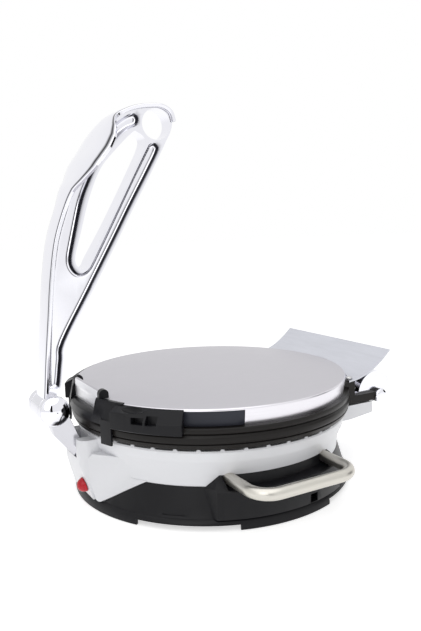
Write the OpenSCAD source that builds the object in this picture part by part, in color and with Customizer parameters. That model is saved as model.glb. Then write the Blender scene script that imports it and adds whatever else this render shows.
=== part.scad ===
// Electric roti maker: two hinged hot plates, pressed together by a folding lever.
// Origin on the axis of the round base, on the table. +Z is up, -X is the front
// with the lever and the lamp, +X is the hinge side, -Y is the side with the handle.

/* [Base] */
// Radius of the foot ring at the table
foot_r = 142; // [139:1:146]
// Width of the ledge between the foot ring and the base wall
ledge_in = 4; // [3:0.5:5.5]
// How far the base wall leans in up to its top edge
base_lean = 8; // [6.5:0.5:10]
// Height of the foot ring up to the ledge
ledge_h = 10; // [8:0.5:13]
// Height of the base wall
base_h = 36; // [33:1:42]
// Thickness of the moulded base wall
base_wall = 2.6; // [2:0.1:3.2]
// Height of the open arches between the foot skirts
arch_h = 5.3; // [3:0.1:7]
// Clearance of the foot skirts above the table
skirt_clear = 0.6; // [0.3:0.1:1.5]
// Half angle of the front and rear foot skirts
skirt_long_a = 32; // [24:1:36]
// Half angle of the side foot skirts
skirt_short_a = 20; // [14:1:26]
// Thickness of the bottom cover
floor_t = 3; // [2:0.2:4]
// Height of the underside of the bottom cover
floor_z = 5; // [4:0.2:6]
// Radius of a rubber foot
rubber_r = 9; // [6:0.5:12]
// Distance of the rubber feet from the edge of the foot ring
rubber_in = 34; // [29:1:45]

/* [Handle box] */
// How far the handle box stands out from the foot of the base wall
box_out = 4.4; // [3.6:0.2:5.6]
// Half width of the handle box at its outer face
box_half = 67; // [63:1:70]
// Half width of the finger pocket between the towers
pocket_half = 57.5; // [57:0.5:59]
// Height of the floor of the finger pocket
pocket_z = 36; // [30:1:36.4]
// Height of the handle box above the base wall
box_rise = 10; // [8:0.5:12]

/* [Side handle] */
// Radius of the handle tube
handle_r = 5.4; // [4:0.1:6.5]
// Distance between the axes of the handle legs
handle_w = 102; // [92:1:106]
// Distance of the handle's grip from the foot ring
handle_out = 26; // [19:1:36]
// Radius of the handle's bends
handle_bend = 19; // [14:1:26]
// Height of the handle above the floor of the finger pocket
handle_up = 6.7; // [6:0.1:8]

/* [Bowl] */
// Height of the white bowl above the base wall
bowl_h = 33.8; // [28:0.2:38]
// Height of the bright upper band of the bowl
band_h = 9.8; // [7:0.2:13]
// How far the bowl's band stands out from the top of the base wall
band_out = 5.6; // [4.4:0.2:6.4]
// How far the bowl's rim stands out from its band
rim_out = 1.7; // [1:0.1:2.6]
// Thickness of the bowl's wall
bowl_wall = 2.5; // [2:0.1:3]
// Height of the bowl's inner deck above the base wall
deck_up = 14; // [11:0.5:16]
// Number of rim ribs that carry the lower ring
rib_count = 42; // [24:1:56]
// Height of the air gap that the rim ribs hold open
vent_h = 2.5; // [1.5:0.1:4]

/* [Front block] */
// Width of the front block that holds the press arm
block_w = 50; // [46:1:56]
// How far the block's front face stands out from the base wall
block_out = 13; // [11.5:0.5:15]
// How far the front face leans back at its foot
block_lean = 10; // [6:0.5:12]
// Height of the top of the block's cheeks
block_top = 67; // [64:0.5:68.5]
// Radius of the block's upright corners
block_corner = 9; // [4:0.5:11]
// Depth to which the press arm sits in the block, from the pivot
tail_l = 68; // [62:1:70]
// Half width of the white chin at its foot
chin_low = 33; // [28:1:40]
// Half width of the white chin at the top of the base wall
chin_high = 73; // [60:1:80]
// Radius of the domed lamp lens
lamp_r = 7; // [5:0.2:8]
// Height of the lamp's centre
lamp_z = 22; // [19:0.5:26]
// Distance of the lamp from the middle of the block
lamp_off = 13; // [11:0.5:15]

/* [Rings and plates] */
// How far the two black rings stand out from the bowl's rim
ring_out = 4.7; // [3.2:0.1:6]
// Height of the lower ring
low_ring_h = 13.1; // [11:0.1:15]
// Gap between the two rings when the lid is shut
ring_gap = 0.6; // [0.4:0.1:1.2]
// Height of the lid's ring
lid_ring_h = 5.4; // [5:0.1:8]
// Width of the black rings round the hot plates
ring_w = 15; // [14:0.5:20]
// Gap between the closed hot plates
plate_gap = 0.4; // [0.3:0.1:1]
// Height of the lower hot plate above the lower ring
plate_rise = 2.3; // [1.5:0.1:2.6]
// Thickness of each hot plate
plate_t = 7; // [5.5:0.1:7.5]
// Distance of the heating elements from the edge of the hot plates
element_in = 39; // [24:1:50]
// Radius of the heating element's tube
element_tube_r = 3.3; // [2.5:0.1:3.5]

/* [Lid] */
// Height of the steel skirt
skirt_h = 16; // [15:0.5:20]
// How far the skirt's lower edge stands in from the rings
skirt_in = 5.8; // [5:0.1:7]
// How far the skirt leans out up to the lid's edge
skirt_lean = 2.1; // [1.2:0.1:2.8]
// Depth of the flat at the front of the lid
flat_d = 4; // [3.4:0.1:4.6]
// Height of the press pad's front edge above the lid's edge
pad_up = 7; // [4:0.5:8]
// Length of the press pad
pad_l = 11; // [9:0.5:12]
// Height of the lid's crown above its edge
crown_h = 2.5; // [1:0.5:5]
// Thickness of the steel cover
steel_t = 1; // [0.8:0.1:1.2]

/* [Fork and wings] */
// Half width of the press pad between the fork's posts
fork_in = 31.5; // [28:0.5:32.5]
// Width of each fork post
post_w = 5.5; // [4:0.5:8]
// Depth of the posts
post_d = 9; // [7:0.5:11]
// Height of the posts above the lid's edge
post_up = 8.2; // [5:0.2:12]
// How far the lugs stand out from the rings
lug_out = 2.6; // [1.8:0.1:4]
// Angle from the front at which each wing starts
wing_from = 24.5; // [24:0.5:27]
// Angle from the front at which each wing ends
wing_to = 51; // [49:0.5:52]
// How far the wings stand out from the rings
wing_out = 7; // [5:0.5:9]
// Drop of the wing's top from the lid's edge to its outer edge
wing_drop = 5; // [3:0.5:7]
// Angle from the front at which the dark skirt panels start
panel_from = 50; // [48:1:51]
// Angle from the front at which the dark skirt panels end
panel_to = 72.5; // [66:0.5:80]

/* [Hinge] */
// Distance of the hinge axis behind the rings
hinge_out = 15; // [14:0.5:17]
// Height of the hinge axis below the lid's ring
hinge_drop = 10; // [9:0.5:11]
// Radius of the hinge pin
hinge_pin_r = 3; // [2:0.1:3.5]
// Running clearance of the hinge pin in the arms
pin_clear = 0.06; // [0.03:0.01:0.09]
// Distance from the middle to the outer face of a hinge arm
arm_out = 85; // [83:0.5:86]
// Width of each hinge arm
arm_w = 10; // [8:0.5:11]
// How far the white rear block stands behind the rings
rear_out = 4; // [2.5:0.5:5]
// Radius of the curved hinge cover
cover_r = 23; // [22:0.5:24]
// Thickness of the sheet of the hinge cover and of the guard
sheet_t = 1.2; // [1:0.1:1.4]

/* [Rear guard] */
// How far the rear guard reaches past the hinge arms at each side
guard_over = 2; // [1:0.5:10]
// Distance of the guard's upper edge behind the rings
guard_out = 26; // [20:1:30]
// Height of the guard's upper edge above the lid's edge
guard_up = 17; // [12:0.5:24]
// Gap between the lid and the guard's curved front edge
guard_gap = 4; // [3:0.5:6]

/* [Press lever] */
// Distance of the lever's pivot in front of the rings
pivot_out = 28.4; // [28:0.2:31]
// Height of the pivot below the lid's edge
pivot_drop = 9.7; // [8.5:0.1:11]
// Radius of the lever's hub
hub_r = 13.5; // [13:0.1:14.5]
// Length of the hub between its caps
hub_l = 41; // [38:1:46]
// Height of the domes on the hub's ends
dome_h = 6; // [3:0.5:8]
// Radius of the lever's pin
lever_pin_r = 4; // [3:0.1:5]
// Width of the press arm
press_w = 24; // [22:0.5:26]
// Radius of the press arm's eye
eye_r = 10; // [9:0.1:10.4]
// Width of the lever's spine along the neck
spine_w = 30; // [28:1:34]
// Thickness of the spine
spine_t = 4; // [3:0.2:5]
// Width of the lever's web
web_w = 18; // [14:1:20]
// Length of the lever from pivot to the hanging hole
lever_l = 280; // [270:1:290]
// Radius of the hanging hole
hang_r = 14.5; // [11:0.5:15]
// Half width of the palm rest
palm_half = 44; // [36:1:48]

/* [Hidden] */
$fn = 96;
FRONT = 180;
SIDE = -90;
fit = 0.3;

// Radii of the round parts and distances from the centre, from the table up
ledge_r = foot_r - ledge_in;
base_top_r = ledge_r - base_lean;
rubber_at = foot_r - rubber_in;
box_r = ledge_r + box_out;
handle_reach = foot_r + handle_out;
band_r = base_top_r + band_out;
bowl_r = band_r + rim_out;
block_x = ledge_r + block_out;
ring_r = bowl_r + ring_out;
plate_r = ring_r - ring_w;
element_r = plate_r - element_in;
skirt_r = ring_r - skirt_in;
lid_r = skirt_r + skirt_lean;
flat_x = lid_r - flat_d;
lug_r = ring_r + lug_out;
wing_reach = ring_r + wing_out;
hinge_x = ring_r + hinge_out;
rear_x = ring_r + rear_out;
rear_half = arm_out;
guard_half = arm_out + guard_over;
guard_x = ring_r + guard_out;
pivot_x = ring_r + pivot_out;

// Heights of the stacked parts, from the table up
rim_z = base_h + bowl_h;
deck_z = base_h + deck_up;
deck_t = 2.5;
ring_z = rim_z + vent_h;
ring_top = ring_z + low_ring_h;
plate_top = ring_top + plate_rise;
plate_low = plate_top - plate_t;
lid_z = ring_top + ring_gap;
skirt_z = lid_z + lid_ring_h;
edge_z = skirt_z + skirt_h;
crown_z = edge_z + crown_h;
upper_low = plate_top + plate_gap;
upper_top = upper_low + plate_t;
hinge_z = lid_z - hinge_drop;
pivot_z = edge_z - pivot_drop;
box_z = base_h + box_rise;
handle_z = pocket_z + handle_up;

// Sizes of the hidden fixings and inner parts
plate_clear = 2;
ledge_w = 7;
ledge_t = 3;
stud_at = element_r - 26;
stud_r = 3;
boss_at = ledge_r - 34;
boss_r = 5;
screw_r = 1.8;
lug_in = 0.6;
lug_a = 20.3;
lug_half = 2.7;
lug_drop = 17;
lip = 2;
lip_up = 0.6;
arm_tilt = 51.5;
arm_thick = 15.1;
arm_seam = 9;
hub_gap = 0.4;
pocket_r = 17.6;
rear_top = rim_z + 1.7;
ear_in = 61;
ear_r = 8;
guard_stud_x = sqrt(pow(lid_r + 4.26, 2) - pow(arm_out - arm_w / 2, 2));
riser_x = guard_stud_x + 4;
terminal_y = element_r + 4;
arm_from = ring_r - 42;
gland_z = 22;
gland_r = 6;
bar_h = 8;
eye_out = 7;

// Smooth curve through a list of points
function cr(a, b, c, d, t) = 0.5 * (2 * b + (c - a) * t + (2 * a - 5 * b + 4 * c - d) * t * t
  + (3 * b - a - 3 * c + d) * t * t * t);
function open_curve(p, n) = [
  for (i = [0 : len(p) - 2])
    for (j = [0 : (i == len(p) - 2 ? n : n - 1)])
      cr(p[max(i - 1, 0)], p[i], p[i + 1], p[min(i + 2, len(p) - 1)], j / n)
];
function ring_curve(p, n) = [
  for (i = [0 : len(p) - 1])
    for (j = [0 : n - 1])
      cr(p[(i + len(p) - 1) % len(p)], p[i], p[(i + 1) % len(p)], p[(i + 2) % len(p)], j / n)
];
function turned(p) = [for (i = [len(p) - 1 : -1 : 0]) p[i]];
function aim(p, i) = p[min(i + 1, len(p) - 1)] - p[max(i - 1, 0)];
function inset(p, t) = [
  for (i = [0 : len(p) - 1])
    p[i] + t * [aim(p, i)[1], -aim(p, i)[0]] / norm(aim(p, i))
];
function arc(c, r, a, b, n) = [
  for (i = [0 : n])
    c + r * [cos(a + (b - a) * i / n), sin(a + (b - a) * i / n)]
];

// A wedge from the centre, and plates drawn in the side view or the front view
module wedge(mid, half, z0, z1, reach = 220) {
  translate([0, 0, z0])
    rotate([0, 0, mid])
      linear_extrude(height = z1 - z0)
        polygon([[0, 0], [reach, -reach * tan(half)], [reach, reach * tan(half)]]);
}
module side_plate(w, y = 0) {
  translate([0, y + w / 2, 0])
    rotate([90, 0, 0])
      linear_extrude(height = w)
        children();
}
module front_plate(x0, x1) {
  translate([x0, 0, 0])
    rotate([90, 0, 90])
      linear_extrude(height = x1 - x0)
        children();
}
module tube_y(r, y0, y1) {
  translate([0, y1, 0])
    rotate([90, 0, 0])
      cylinder(r = r, h = y1 - y0);
}
module ring(r1, r0, z0, z1) {
  difference() {
    translate([0, 0, z0])
      cylinder(r = r1, h = z1 - z0, $fn = 180);
    translate([0, 0, z0 - 1])
      cylinder(r = r0, h = z1 - z0 + 2, $fn = 180);
  }
}
module turn(pts) {
  rotate_extrude($fn = 180)
    polygon(pts);
}
module both_sides() {
  children();
  mirror([0, 1, 0])
    children();
}

// Front block and chin outlines, shared by the bowl and by the opening in the base
module block_side(g = 0) {
  side_plate(block_w + 2 * g)
    polygon([
      [-(base_top_r - 2), block_top + g], [-(block_x + g), block_top + g], [-(block_x + g), 45],
      [-(block_x - block_lean + g), ledge_h + 0.2 - g], [-(base_top_r - 2), ledge_h + 0.2 - g]
    ]);
}
module block_plan(g = 0) {
  h = block_w / 2 + g;
  x = block_x + g;
  translate([0, 0, -5])
    linear_extrude(height = 100)
      union() {
        translate([-x + block_corner, -h])
          square([60, 2 * h]);
        translate([-x, -h + block_corner])
          square([60, 2 * h - 2 * block_corner]);
        for (s = [-1, 1])
          translate([-x + block_corner, s * (h - block_corner)])
            circle(r = block_corner);
      }
}
module chin_shape(g = 0) {
  front_plate(-ledge_r - 12, -60)
    polygon([
      [-chin_low - g, ledge_h + 0.2 - g], [chin_low + g, ledge_h + 0.2 - g],
      [chin_high + g, base_h + 1], [-chin_high - g, base_h + 1]
    ]);
}
module cheek_shape() {
  top = rim_z - band_h - 5;
  difference() {
    intersection() {
      front_plate(-block_x - 5, -60)
        polygon([
          [-chin_low, ledge_h + 0.2], [chin_low, ledge_h + 0.2], [chin_high, base_h + 1],
          [chin_high - 12, top], [12 - chin_high, top], [-chin_high, base_h + 1]
        ]);
      linear_extrude(height = 100)
        polygon([
          [-block_x + 5, -block_w / 2 + 2], [-base_top_r + 20, -chin_high + 8], [-60, -chin_high + 8],
          [-60, chin_high - 8], [-base_top_r + 20, chin_high - 8], [-block_x + 5, block_w / 2 - 2]
        ]);
      side_plate(300)
        polygon([
          [-60, ledge_h + 0.2], [-(block_x - block_lean) + 2, ledge_h + 0.2], [-block_x + 3, 45],
          [-block_x + 10, top], [-60, top]
        ]);
    }
    cylinder(r = base_top_r - 2.4, h = 100, $fn = 180);
  }
}
function arm_pt(u, v) = [
  -pivot_x + u * cos(arm_tilt) + v * sin(arm_tilt),
  pivot_z - u * sin(arm_tilt) + v * cos(arm_tilt)
];

// Black moulded base with foot skirts, ledge, sloping wall and handle box
module box_ends(g) {
  side_plate(400)
    polygon([
      [-200, 0], [200, 0], [200, base_h - 6], [box_half + 4 + g, base_h - 2 + g],
      [box_half - 8, box_z + g], [-box_half + 8, box_z + g], [-box_half - 4 - g, base_h - 2 + g],
      [-200, base_h - 6]
    ]);
}
module handle_box_body() {
  w = base_wall;
  intersection() {
    translate([-100, -200, 0])
      cube([200, 200, 100]);
    linear_extrude(height = 100)
      polygon([
        [0, 0], [-box_half - 4, -base_top_r + 22], [-box_half, -sqrt(box_r * box_r - box_half * box_half)],
        [-box_half, -200], [box_half, -200],
        [box_half, -sqrt(box_r * box_r - box_half * box_half)], [box_half + 4, -base_top_r + 22]
      ]);
    turn([
      [box_r, ledge_h + 0.5], [box_r, pocket_z - 1], [box_r - 1, pocket_z],
      [base_top_r, box_z], [base_top_r - w, box_z],
      [base_top_r - w, base_h - 4], [base_top_r + 3, base_h - 8], [ledge_r - w, ledge_h + 0.5]
    ]);
    box_ends(0);
  }
}
module base_shell() {
  w = base_wall;
  color([0.16, 0.15, 0.16])
    difference() {
      union() {
        turn([
          [foot_r, skirt_clear], [foot_r, 3.5], [foot_r - 1, 7], [ledge_r + 1.5, ledge_h - 0.8],
          [ledge_r, ledge_h], [base_top_r, base_h], [base_top_r - w, base_h],
          [ledge_r - w, ledge_h + 0.5], [ledge_r - w - 5, ledge_h], [ledge_r - w - 5, floor_z + floor_t],
          [foot_r - w - 1.5, floor_z + floor_t], [foot_r - w, 5], [foot_r - w, skirt_clear]
        ]);
        handle_box_body();
      }
      // Finger pocket between the towers
      intersection() {
        translate([-pocket_half, -200, pocket_z])
          cube([2 * pocket_half, 140, 40]);
        ring(200, base_top_r, pocket_z, pocket_z + 40);
      }
      // Room inside the handle box
      intersection() {
        translate([-pocket_half + 1, -200, 0])
          cube([2 * pocket_half - 2, 140, 60]);
        ring(box_r - w, ledge_r - w - 1, ledge_h + w, pocket_z - w);
      }
      // Arches between the foot skirts
      difference() {
        translate([0, 0, -1])
          cylinder(r = foot_r + 5, h = arch_h + 1);
        wedge(180, skirt_long_a, -2, arch_h + 1);
        wedge(0, skirt_long_a, -2, arch_h + 1);
        wedge(90, skirt_short_a, -2, arch_h + 1);
        wedge(-90, skirt_short_a, -2, arch_h + 1);
      }
      // Opening for the chin and for the front block
      chin_shape(fit);
      intersection() {
        block_side(fit);
        block_plan(fit);
      }
      // Drain slot in the front of the handle box
      translate([20.5, -box_r - 2, ledge_h + 1])
        cube([9, 12, 8]);
      // Shallow recess beside the front skirt
      intersection() {
        wedge(-134, 4, 12, 19);
        ring(200, ledge_r - 1.4, 12, 19);
      }
      // Hole for the cord gland and seats for the handle screws
      gland_place()
        translate([0, 0, -12])
          cylinder(r = gland_r + 0.1, h = 24);
      for (s = [-1, 1])
        translate([s * handle_w / 2, 0, handle_z])
          tube_y(2.5 + 0.1, -base_top_r - 5, -90);
    }
}

// Bottom cover, its feet and its screws
module at_feet(r) {
  for (i = [0 : 3])
    rotate([0, 0, 45 + 90 * i])
      translate([r, 0, 0])
        children();
}
module base_floor() {
  color([0.2, 0.2, 0.21])
    difference() {
      translate([0, 0, floor_z])
        cylinder(r = foot_r - base_wall - 5, h = floor_t, $fn = 180);
      at_feet(boss_at)
        rotate([0, 0, 8])
          translate([-14, 0, 0]) {
            translate([0, 0, floor_z - 1])
              cylinder(r = screw_r + 0.2, h = floor_t + 2);
            translate([0, 0, floor_z - 1])
              cylinder(r = 2 * screw_r + 0.3, h = 2.4);
          }
      for (a = [-2 : 2])
        translate([a * 14, 0, floor_z - 1])
          translate([-2, -22, 0])
            cube([4, 44, floor_t + 2]);
      at_feet(rubber_at)
        translate([0, 0, floor_z - 1])
          cylinder(r = 3, h = floor_t + 2);
    }
}
module rubber_feet() {
  color([0.12, 0.12, 0.12])
    at_feet(rubber_at)
      union() {
        cylinder(r = rubber_r, h = floor_z);
        cylinder(r = 2.9, h = floor_z + floor_t + 0.5);
      }
}
module floor_screws() {
  color([0.6, 0.6, 0.62])
    at_feet(boss_at)
      rotate([0, 0, 8])
        translate([-14, 0, 0])
          union() {
            translate([0, 0, floor_z + 0.4])
              cylinder(r = screw_r * 2, h = 1);
            translate([0, 0, floor_z + 0.4])
              cylinder(r = screw_r, h = 14);
          }
}

// Bent tube handle at the side, with its screws inside the base
module side_handle() {
  x = handle_w / 2;
  y = handle_reach;
  b = handle_bend;
  color([0.78, 0.77, 0.74])
    difference() {
      union() {
        for (s = [-1, 1]) {
          translate([s * x, 0, handle_z])
            tube_y(handle_r, -y + b, -base_top_r + 20);
          translate([s * (x - b), -y + b, handle_z])
            rotate([0, 0, s > 0 ? -90 : 180])
              rotate_extrude(angle = 90)
                translate([b, 0])
                  circle(r = handle_r, $fn = 48);
        }
        translate([-x + b, -y, handle_z])
          rotate([0, 90, 0])
            cylinder(r = handle_r, h = 2 * (x - b));
      }
      translate([0, 0, handle_z - 20])
        cylinder(r = base_top_r + 0.05, h = 40, $fn = 180);
      for (s = [-1, 1])
        translate([s * x, 0, handle_z])
          tube_y(2.5, -base_top_r - 14, -90);
    }
}
module handle_screws() {
  x = handle_w / 2;
  y = sqrt(pow(base_top_r - base_wall, 2) - pow(x - 5, 2));
  color([0.6, 0.6, 0.62])
    for (s = [-1, 1])
      translate([s * x, 0, handle_z])
        union() {
          tube_y(2.4, -base_top_r - 4, -y + 6);
          difference() {
            tube_y(5, -y - 8, -y + 9);
            translate([-s * x, 0, -20])
              ring(300, base_top_r - base_wall - 0.05, 0, 40);
          }
        }
}

// White bowl with rim ribs, inner deck, front block, chin, rear block and hinge ears
function bowl_out(g) = [
  [base_top_r - 0.4 - g, base_h], [base_top_r + 0.1 - g, box_z], [band_r - 3.2 - g, rim_z - band_h - 7],
  [band_r - 0.6 - g, rim_z - band_h - 1.2], [band_r - g, rim_z - band_h], [bowl_r - g, rim_z - 1.5]
];
module rear_block_side() {
  side_plate(2 * rear_half)
    polygon([
      [0, rear_top - 15], [bowl_r - 21, rear_top - 14.5], [rear_x - 1, rear_top - 11.5],
      [rear_x, rear_top - 10.5], [rear_x, rear_top - 1.5], [rear_x - 1.5, rear_top], [0, rear_top]
    ]);
}
module body_bowl() {
  w = bowl_wall;
  color([0.93, 0.93, 0.95])
    difference() {
      union() {
        difference() {
          turn(concat(bowl_out(0), [
            [bowl_r - 0.8, rim_z], [bowl_r - w - 4, rim_z], [bowl_r - w - 4, rim_z - w],
            [bowl_r - w - 0.8, rim_z - w - 0.8]
          ], turned([for (i = [0 : 4]) bowl_out(w)[i]])));
          // The handle box takes the place of the lower wall there
          intersection() {
            box_ends(0.1);
            translate([-100, -200, base_h - 10])
              cube([200, 140, box_rise + 20]);
            ring(200, 100, base_h - 10, box_z + 0.1);
          }
        }
        ring(band_r - 5, 40, deck_z, deck_z + deck_t);
        // Rear block with its ears
        difference() {
          intersection() {
            rear_block_side();
            translate([60, -rear_half, 0])
              cube([200, 2 * rear_half, 200]);
          }
          translate([0, 0, 30])
            cylinder(r = bowl_r - w, h = 60, $fn = 180);
          translate([bowl_r - 40, -rear_half + w, rear_top - 9])
            cube([rear_x - bowl_r + 40 - w, 2 * rear_half - 2 * w, 9 - w]);
        }
        both_sides()
          side_plate(arm_out - arm_w - 1 - ear_in, (arm_out - arm_w - 1 + ear_in) / 2)
            union() {
              translate([hinge_x, hinge_z])
                circle(r = ear_r);
              polygon([
                [rear_x - 8, rear_top - 1], [rear_x - 8, rear_top - 10], [rear_x, rear_top - 10],
                [hinge_x + 2, hinge_z - ear_r + 0.3], [hinge_x - 3, hinge_z + ear_r - 1], [rear_x, rear_top]
              ]);
            }
        // Front block and chin
        intersection() {
          block_side();
          block_plan();
        }
        cheek_shape();
        intersection() {
          chin_shape();
          turn([
            [ledge_r, ledge_h], [base_top_r, base_h], [base_top_r, base_h + 2],
            [base_top_r - base_wall - 0.5, base_h + 2], [base_top_r - base_wall, base_h],
            [ledge_r - base_wall, ledge_h]
          ]);
        }
        // Rim ribs that carry the lower ring
        for (i = [0 : rib_count - 1])
          rotate([0, 0, i * 360 / rib_count + 180 / rib_count])
            translate([0, 0, rim_z])
              front_plate(bowl_r - w - 3.5, bowl_r - w + 1.7)
                polygon([[-2.4, -0.5], [2.4, -0.5], [0.8, vent_h], [-0.8, vent_h]]);
        // Bosses for the bottom screws
        at_feet(boss_at)
          rotate([0, 0, 8])
            translate([-14, 0, floor_z + floor_t])
              cylinder(r = boss_r, h = deck_z - floor_z - floor_t + 1);
      }
      // Slot for the press arm
      side_plate(press_w + 2 * hub_gap)
        polygon([
          arm_pt(25, -arm_thick - 0.2), arm_pt(tail_l + 0.2, -arm_thick - 0.2), arm_pt(tail_l + 0.2, -2.4),
          [-block_x + 13, 53.5], [-block_x + 13, 90], [-block_x - 20, 90]
        ]);
      // Holes for the arm bolts, with recesses for their heads
      for (u = [50, 60])
        translate([arm_pt(u, -arm_seam)[0], 0, arm_pt(u, -arm_seam)[1]]) {
          tube_y(2.6, 0, block_w);
          tube_y(4.8, block_w / 2 - 3, block_w);
        }
      // Seat of the lamp
      lamp_place()
        translate([0, 0, -8])
          cylinder(r = lamp_r - 1.5, h = 14);
      // Lower hollow of the block
      translate([-(block_x - block_lean - 4), -block_w / 2 + 4, ledge_h + 3])
        cube([block_x - block_lean - 4 - base_top_r + 4, block_w - 8, 20]);
      // Bores, post holes and screw holes
      translate([hinge_x, 0, hinge_z])
        tube_y(hinge_pin_r + 0.02, -arm_out, arm_out);
      at_feet(stud_at)
        translate([0, 0, deck_z - 1])
          cylinder(r = screw_r + 0.1, h = deck_t + 2);
      at_feet(boss_at)
        rotate([0, 0, 8])
          translate([-14, 0, floor_z])
            cylinder(r = screw_r, h = 16);
    }
}

// Lamp in the front of the block
module lamp_place() {
  face = block_x - block_lean * (45 - lamp_z) / (45 - ledge_h + 2);
  translate([-face, -lamp_off, lamp_z])
    rotate([0, -90 - atan(block_lean / (45 - ledge_h + 2)), 0])
      children();
}
module lamp_lens() {
  color([0.8, 0.05, 0.08])
    lamp_place()
      rotate_extrude($fn = 64)
        polygon(concat([[0, 0.1], [lamp_r, 0.1], [lamp_r, 0.8]], arc([0, 0.8], lamp_r - 0.4, 8, 90, 10)));
}
module lamp_holder() {
  color([0.3, 0.3, 0.32])
    lamp_place()
      difference() {
        translate([0, 0, -7.5])
          cylinder(r = lamp_r - 1.6, h = 7.6);
        translate([0, 0, -8])
          cylinder(r = 2, h = 4);
      }
}

// Fixed press arm that carries the lever, and its bolts
module arm_outline(low) {
  polygon(concat(
    [for (p = arc([0, 0], eye_r, 40, 250, 24)) arm_pt(p[0], p[1])],
    [
      arm_pt(10, -eye_r), arm_pt(22.8, -low), arm_pt(tail_l, -low), arm_pt(tail_l, -2.8),
      arm_pt(52, -2.8), arm_pt(43, -1.7), arm_pt(30, 2), arm_pt(17, 6)
    ]
  ));
}
module press_arm() {
  color([0.8, 0.8, 0.82])
    difference() {
      intersection() {
        side_plate(press_w + 4)
          arm_outline(arm_thick);
        // Bevels of its outer face
        translate([-pivot_x, 0, pivot_z])
          rotate([0, 90 + arm_tilt, 0])
            translate([0, 0, -30])
              linear_extrude(height = tail_l + 60)
                polygon([
                  [-30, -press_w / 2], [arm_seam, -press_w / 2], [arm_thick, -press_w / 2 + 7],
                  [arm_thick, press_w / 2 - 7], [arm_seam, press_w / 2], [-30, press_w / 2]
                ]);
      }
      translate([-pivot_x, 0, pivot_z])
        tube_y(lever_pin_r + 0.05, -press_w, press_w);
      for (u = [50, 60])
        translate([arm_pt(u, -arm_seam)[0], 0, arm_pt(u, -arm_seam)[1]])
          tube_y(2.5, -4, press_w);
    }
}
module arm_bolts() {
  color([0.6, 0.6, 0.62])
    for (u = [50, 60])
      translate([arm_pt(u, -arm_seam)[0], 0, arm_pt(u, -arm_seam)[1]])
        difference() {
          union() {
            tube_y(2.5, -4, block_w / 2 - 3);
            tube_y(4.6, block_w / 2 - 3, block_w / 2 - 0.5);
          }
          translate([-4, block_w / 2 - 1.2, -0.5])
            cube([8, 3, 1]);
        }
}

// Lower ring with the lower hot plate and what lies under it
module lower_ring() {
  r = ring_r;
  z = ring_z;
  color([0.13, 0.12, 0.12])
    turn([
      [r - 2.5, z], [r - 0.8, z + 3.6], [r - 0.6, z + 4.2], [r - 1.6, z + 4.6], [r - 1.6, z + 5.1],
      [r - 0.3, z + 5.6], [r, z + 8], [r, ring_top - 2.4], [r - 1.8, ring_top],
      [plate_r + plate_clear, ring_top], [plate_r + plate_clear, plate_low],
      [plate_r + plate_clear - ledge_w, plate_low], [plate_r + plate_clear - ledge_w, plate_low - ledge_t],
      [plate_r + plate_clear + 2, plate_low - ledge_t], [plate_r + plate_clear + 2, z]
    ]);
}
module lower_plate() {
  color([0.28, 0.27, 0.27])
    difference() {
      turn([
        [0, plate_low], [plate_r, plate_low], [plate_r, plate_top - 0.8],
        [plate_r - 0.8, plate_top], [0, plate_top]
      ]);
      at_feet(stud_at)
        translate([0, 0, plate_low - 1])
          cylinder(r = screw_r, h = plate_t - 1);
    }
}
module element(z, dir) {
  g = element_tube_r;
  union() {
    rotate([0, 0, 100])
      rotate_extrude(angle = 340, $fn = 120)
        translate([element_r, z])
          circle(r = g, $fn = 32);
    for (a = [80, 100])
      rotate([0, 0, a])
        translate([element_r, 0, dir > 0 ? z : z - 12])
          cylinder(r = g, h = 12, $fn = 32);
  }
}
module clamps(z, dir) {
  g = element_tube_r;
  for (i = [0 : 3])
    rotate([0, 0, 45 + 90 * i])
      translate([element_r - 14, -4, 0])
        union() {
          translate([0, 0, dir > 0 ? z : z - 2 * g - 1.6])
            cube([7, 8, 2 * g + 1.6]);
          translate([0, 0, dir > 0 ? z + 2 * g + 0.2 : z - 2 * g - 1.8])
            cube([20, 8, 1.4]);
        }
}
module lower_element() {
  color([0.45, 0.42, 0.4])
    element(plate_low - element_tube_r - 0.1, -1);
}
module lower_clamps() {
  color([0.6, 0.6, 0.62])
    clamps(plate_low, -1);
}
module reflector(z, w) {
  difference() {
    translate([0, 0, z])
      cylinder(r = w, h = 0.8, $fn = 180);
    at_feet(stud_at)
      translate([0, 0, z - 1])
        cylinder(r = stud_r + 0.1, h = 3);
    // Holes for the element's ends
    for (a = [80, 100])
      rotate([0, 0, a])
        translate([element_r, 0, z - 1])
          cylinder(r = element_tube_r + 1.5, h = 3);
  }
}
module lower_reflector() {
  color([0.75, 0.75, 0.77])
    reflector(deck_z + deck_t + 10, element_r + 26);
}
module reflector_posts() {
  z = deck_z + deck_t;
  color([0.6, 0.6, 0.62])
    at_feet(stud_at)
      union() {
        translate([0, 0, z])
          cylinder(r = stud_r, h = plate_low - z);
        translate([0, 0, z])
          cylinder(r = stud_r + 1.6, h = 10);
        translate([0, 0, plate_low - 0.5])
          cylinder(r = screw_r, h = plate_t - 2);
        translate([0, 0, z - deck_t - 3])
          cylinder(r = screw_r, h = deck_t + 4);
        translate([0, 0, z - deck_t - 3])
          cylinder(r = screw_r * 2, h = 3);
      }
}
module thermostat() {
  color([0.85, 0.83, 0.78])
    translate([28, 0, plate_low - 9.4])
      union() {
        cylinder(r = 8, h = 9.2);
        translate([-3, -14, 2])
          cube([6, 28, 1]);
      }
}
module thermal_fuse() {
  color([0.75, 0.7, 0.55])
    translate([-30, 18, plate_low - 2.2])
      rotate([0, 90, 0])
        union() {
          translate([0, 0, -7])
            cylinder(r = 2, h = 14, $fn = 32);
          translate([0, 0, -13])
            cylinder(r = 0.8, h = 26, $fn = 24);
        }
}
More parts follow.
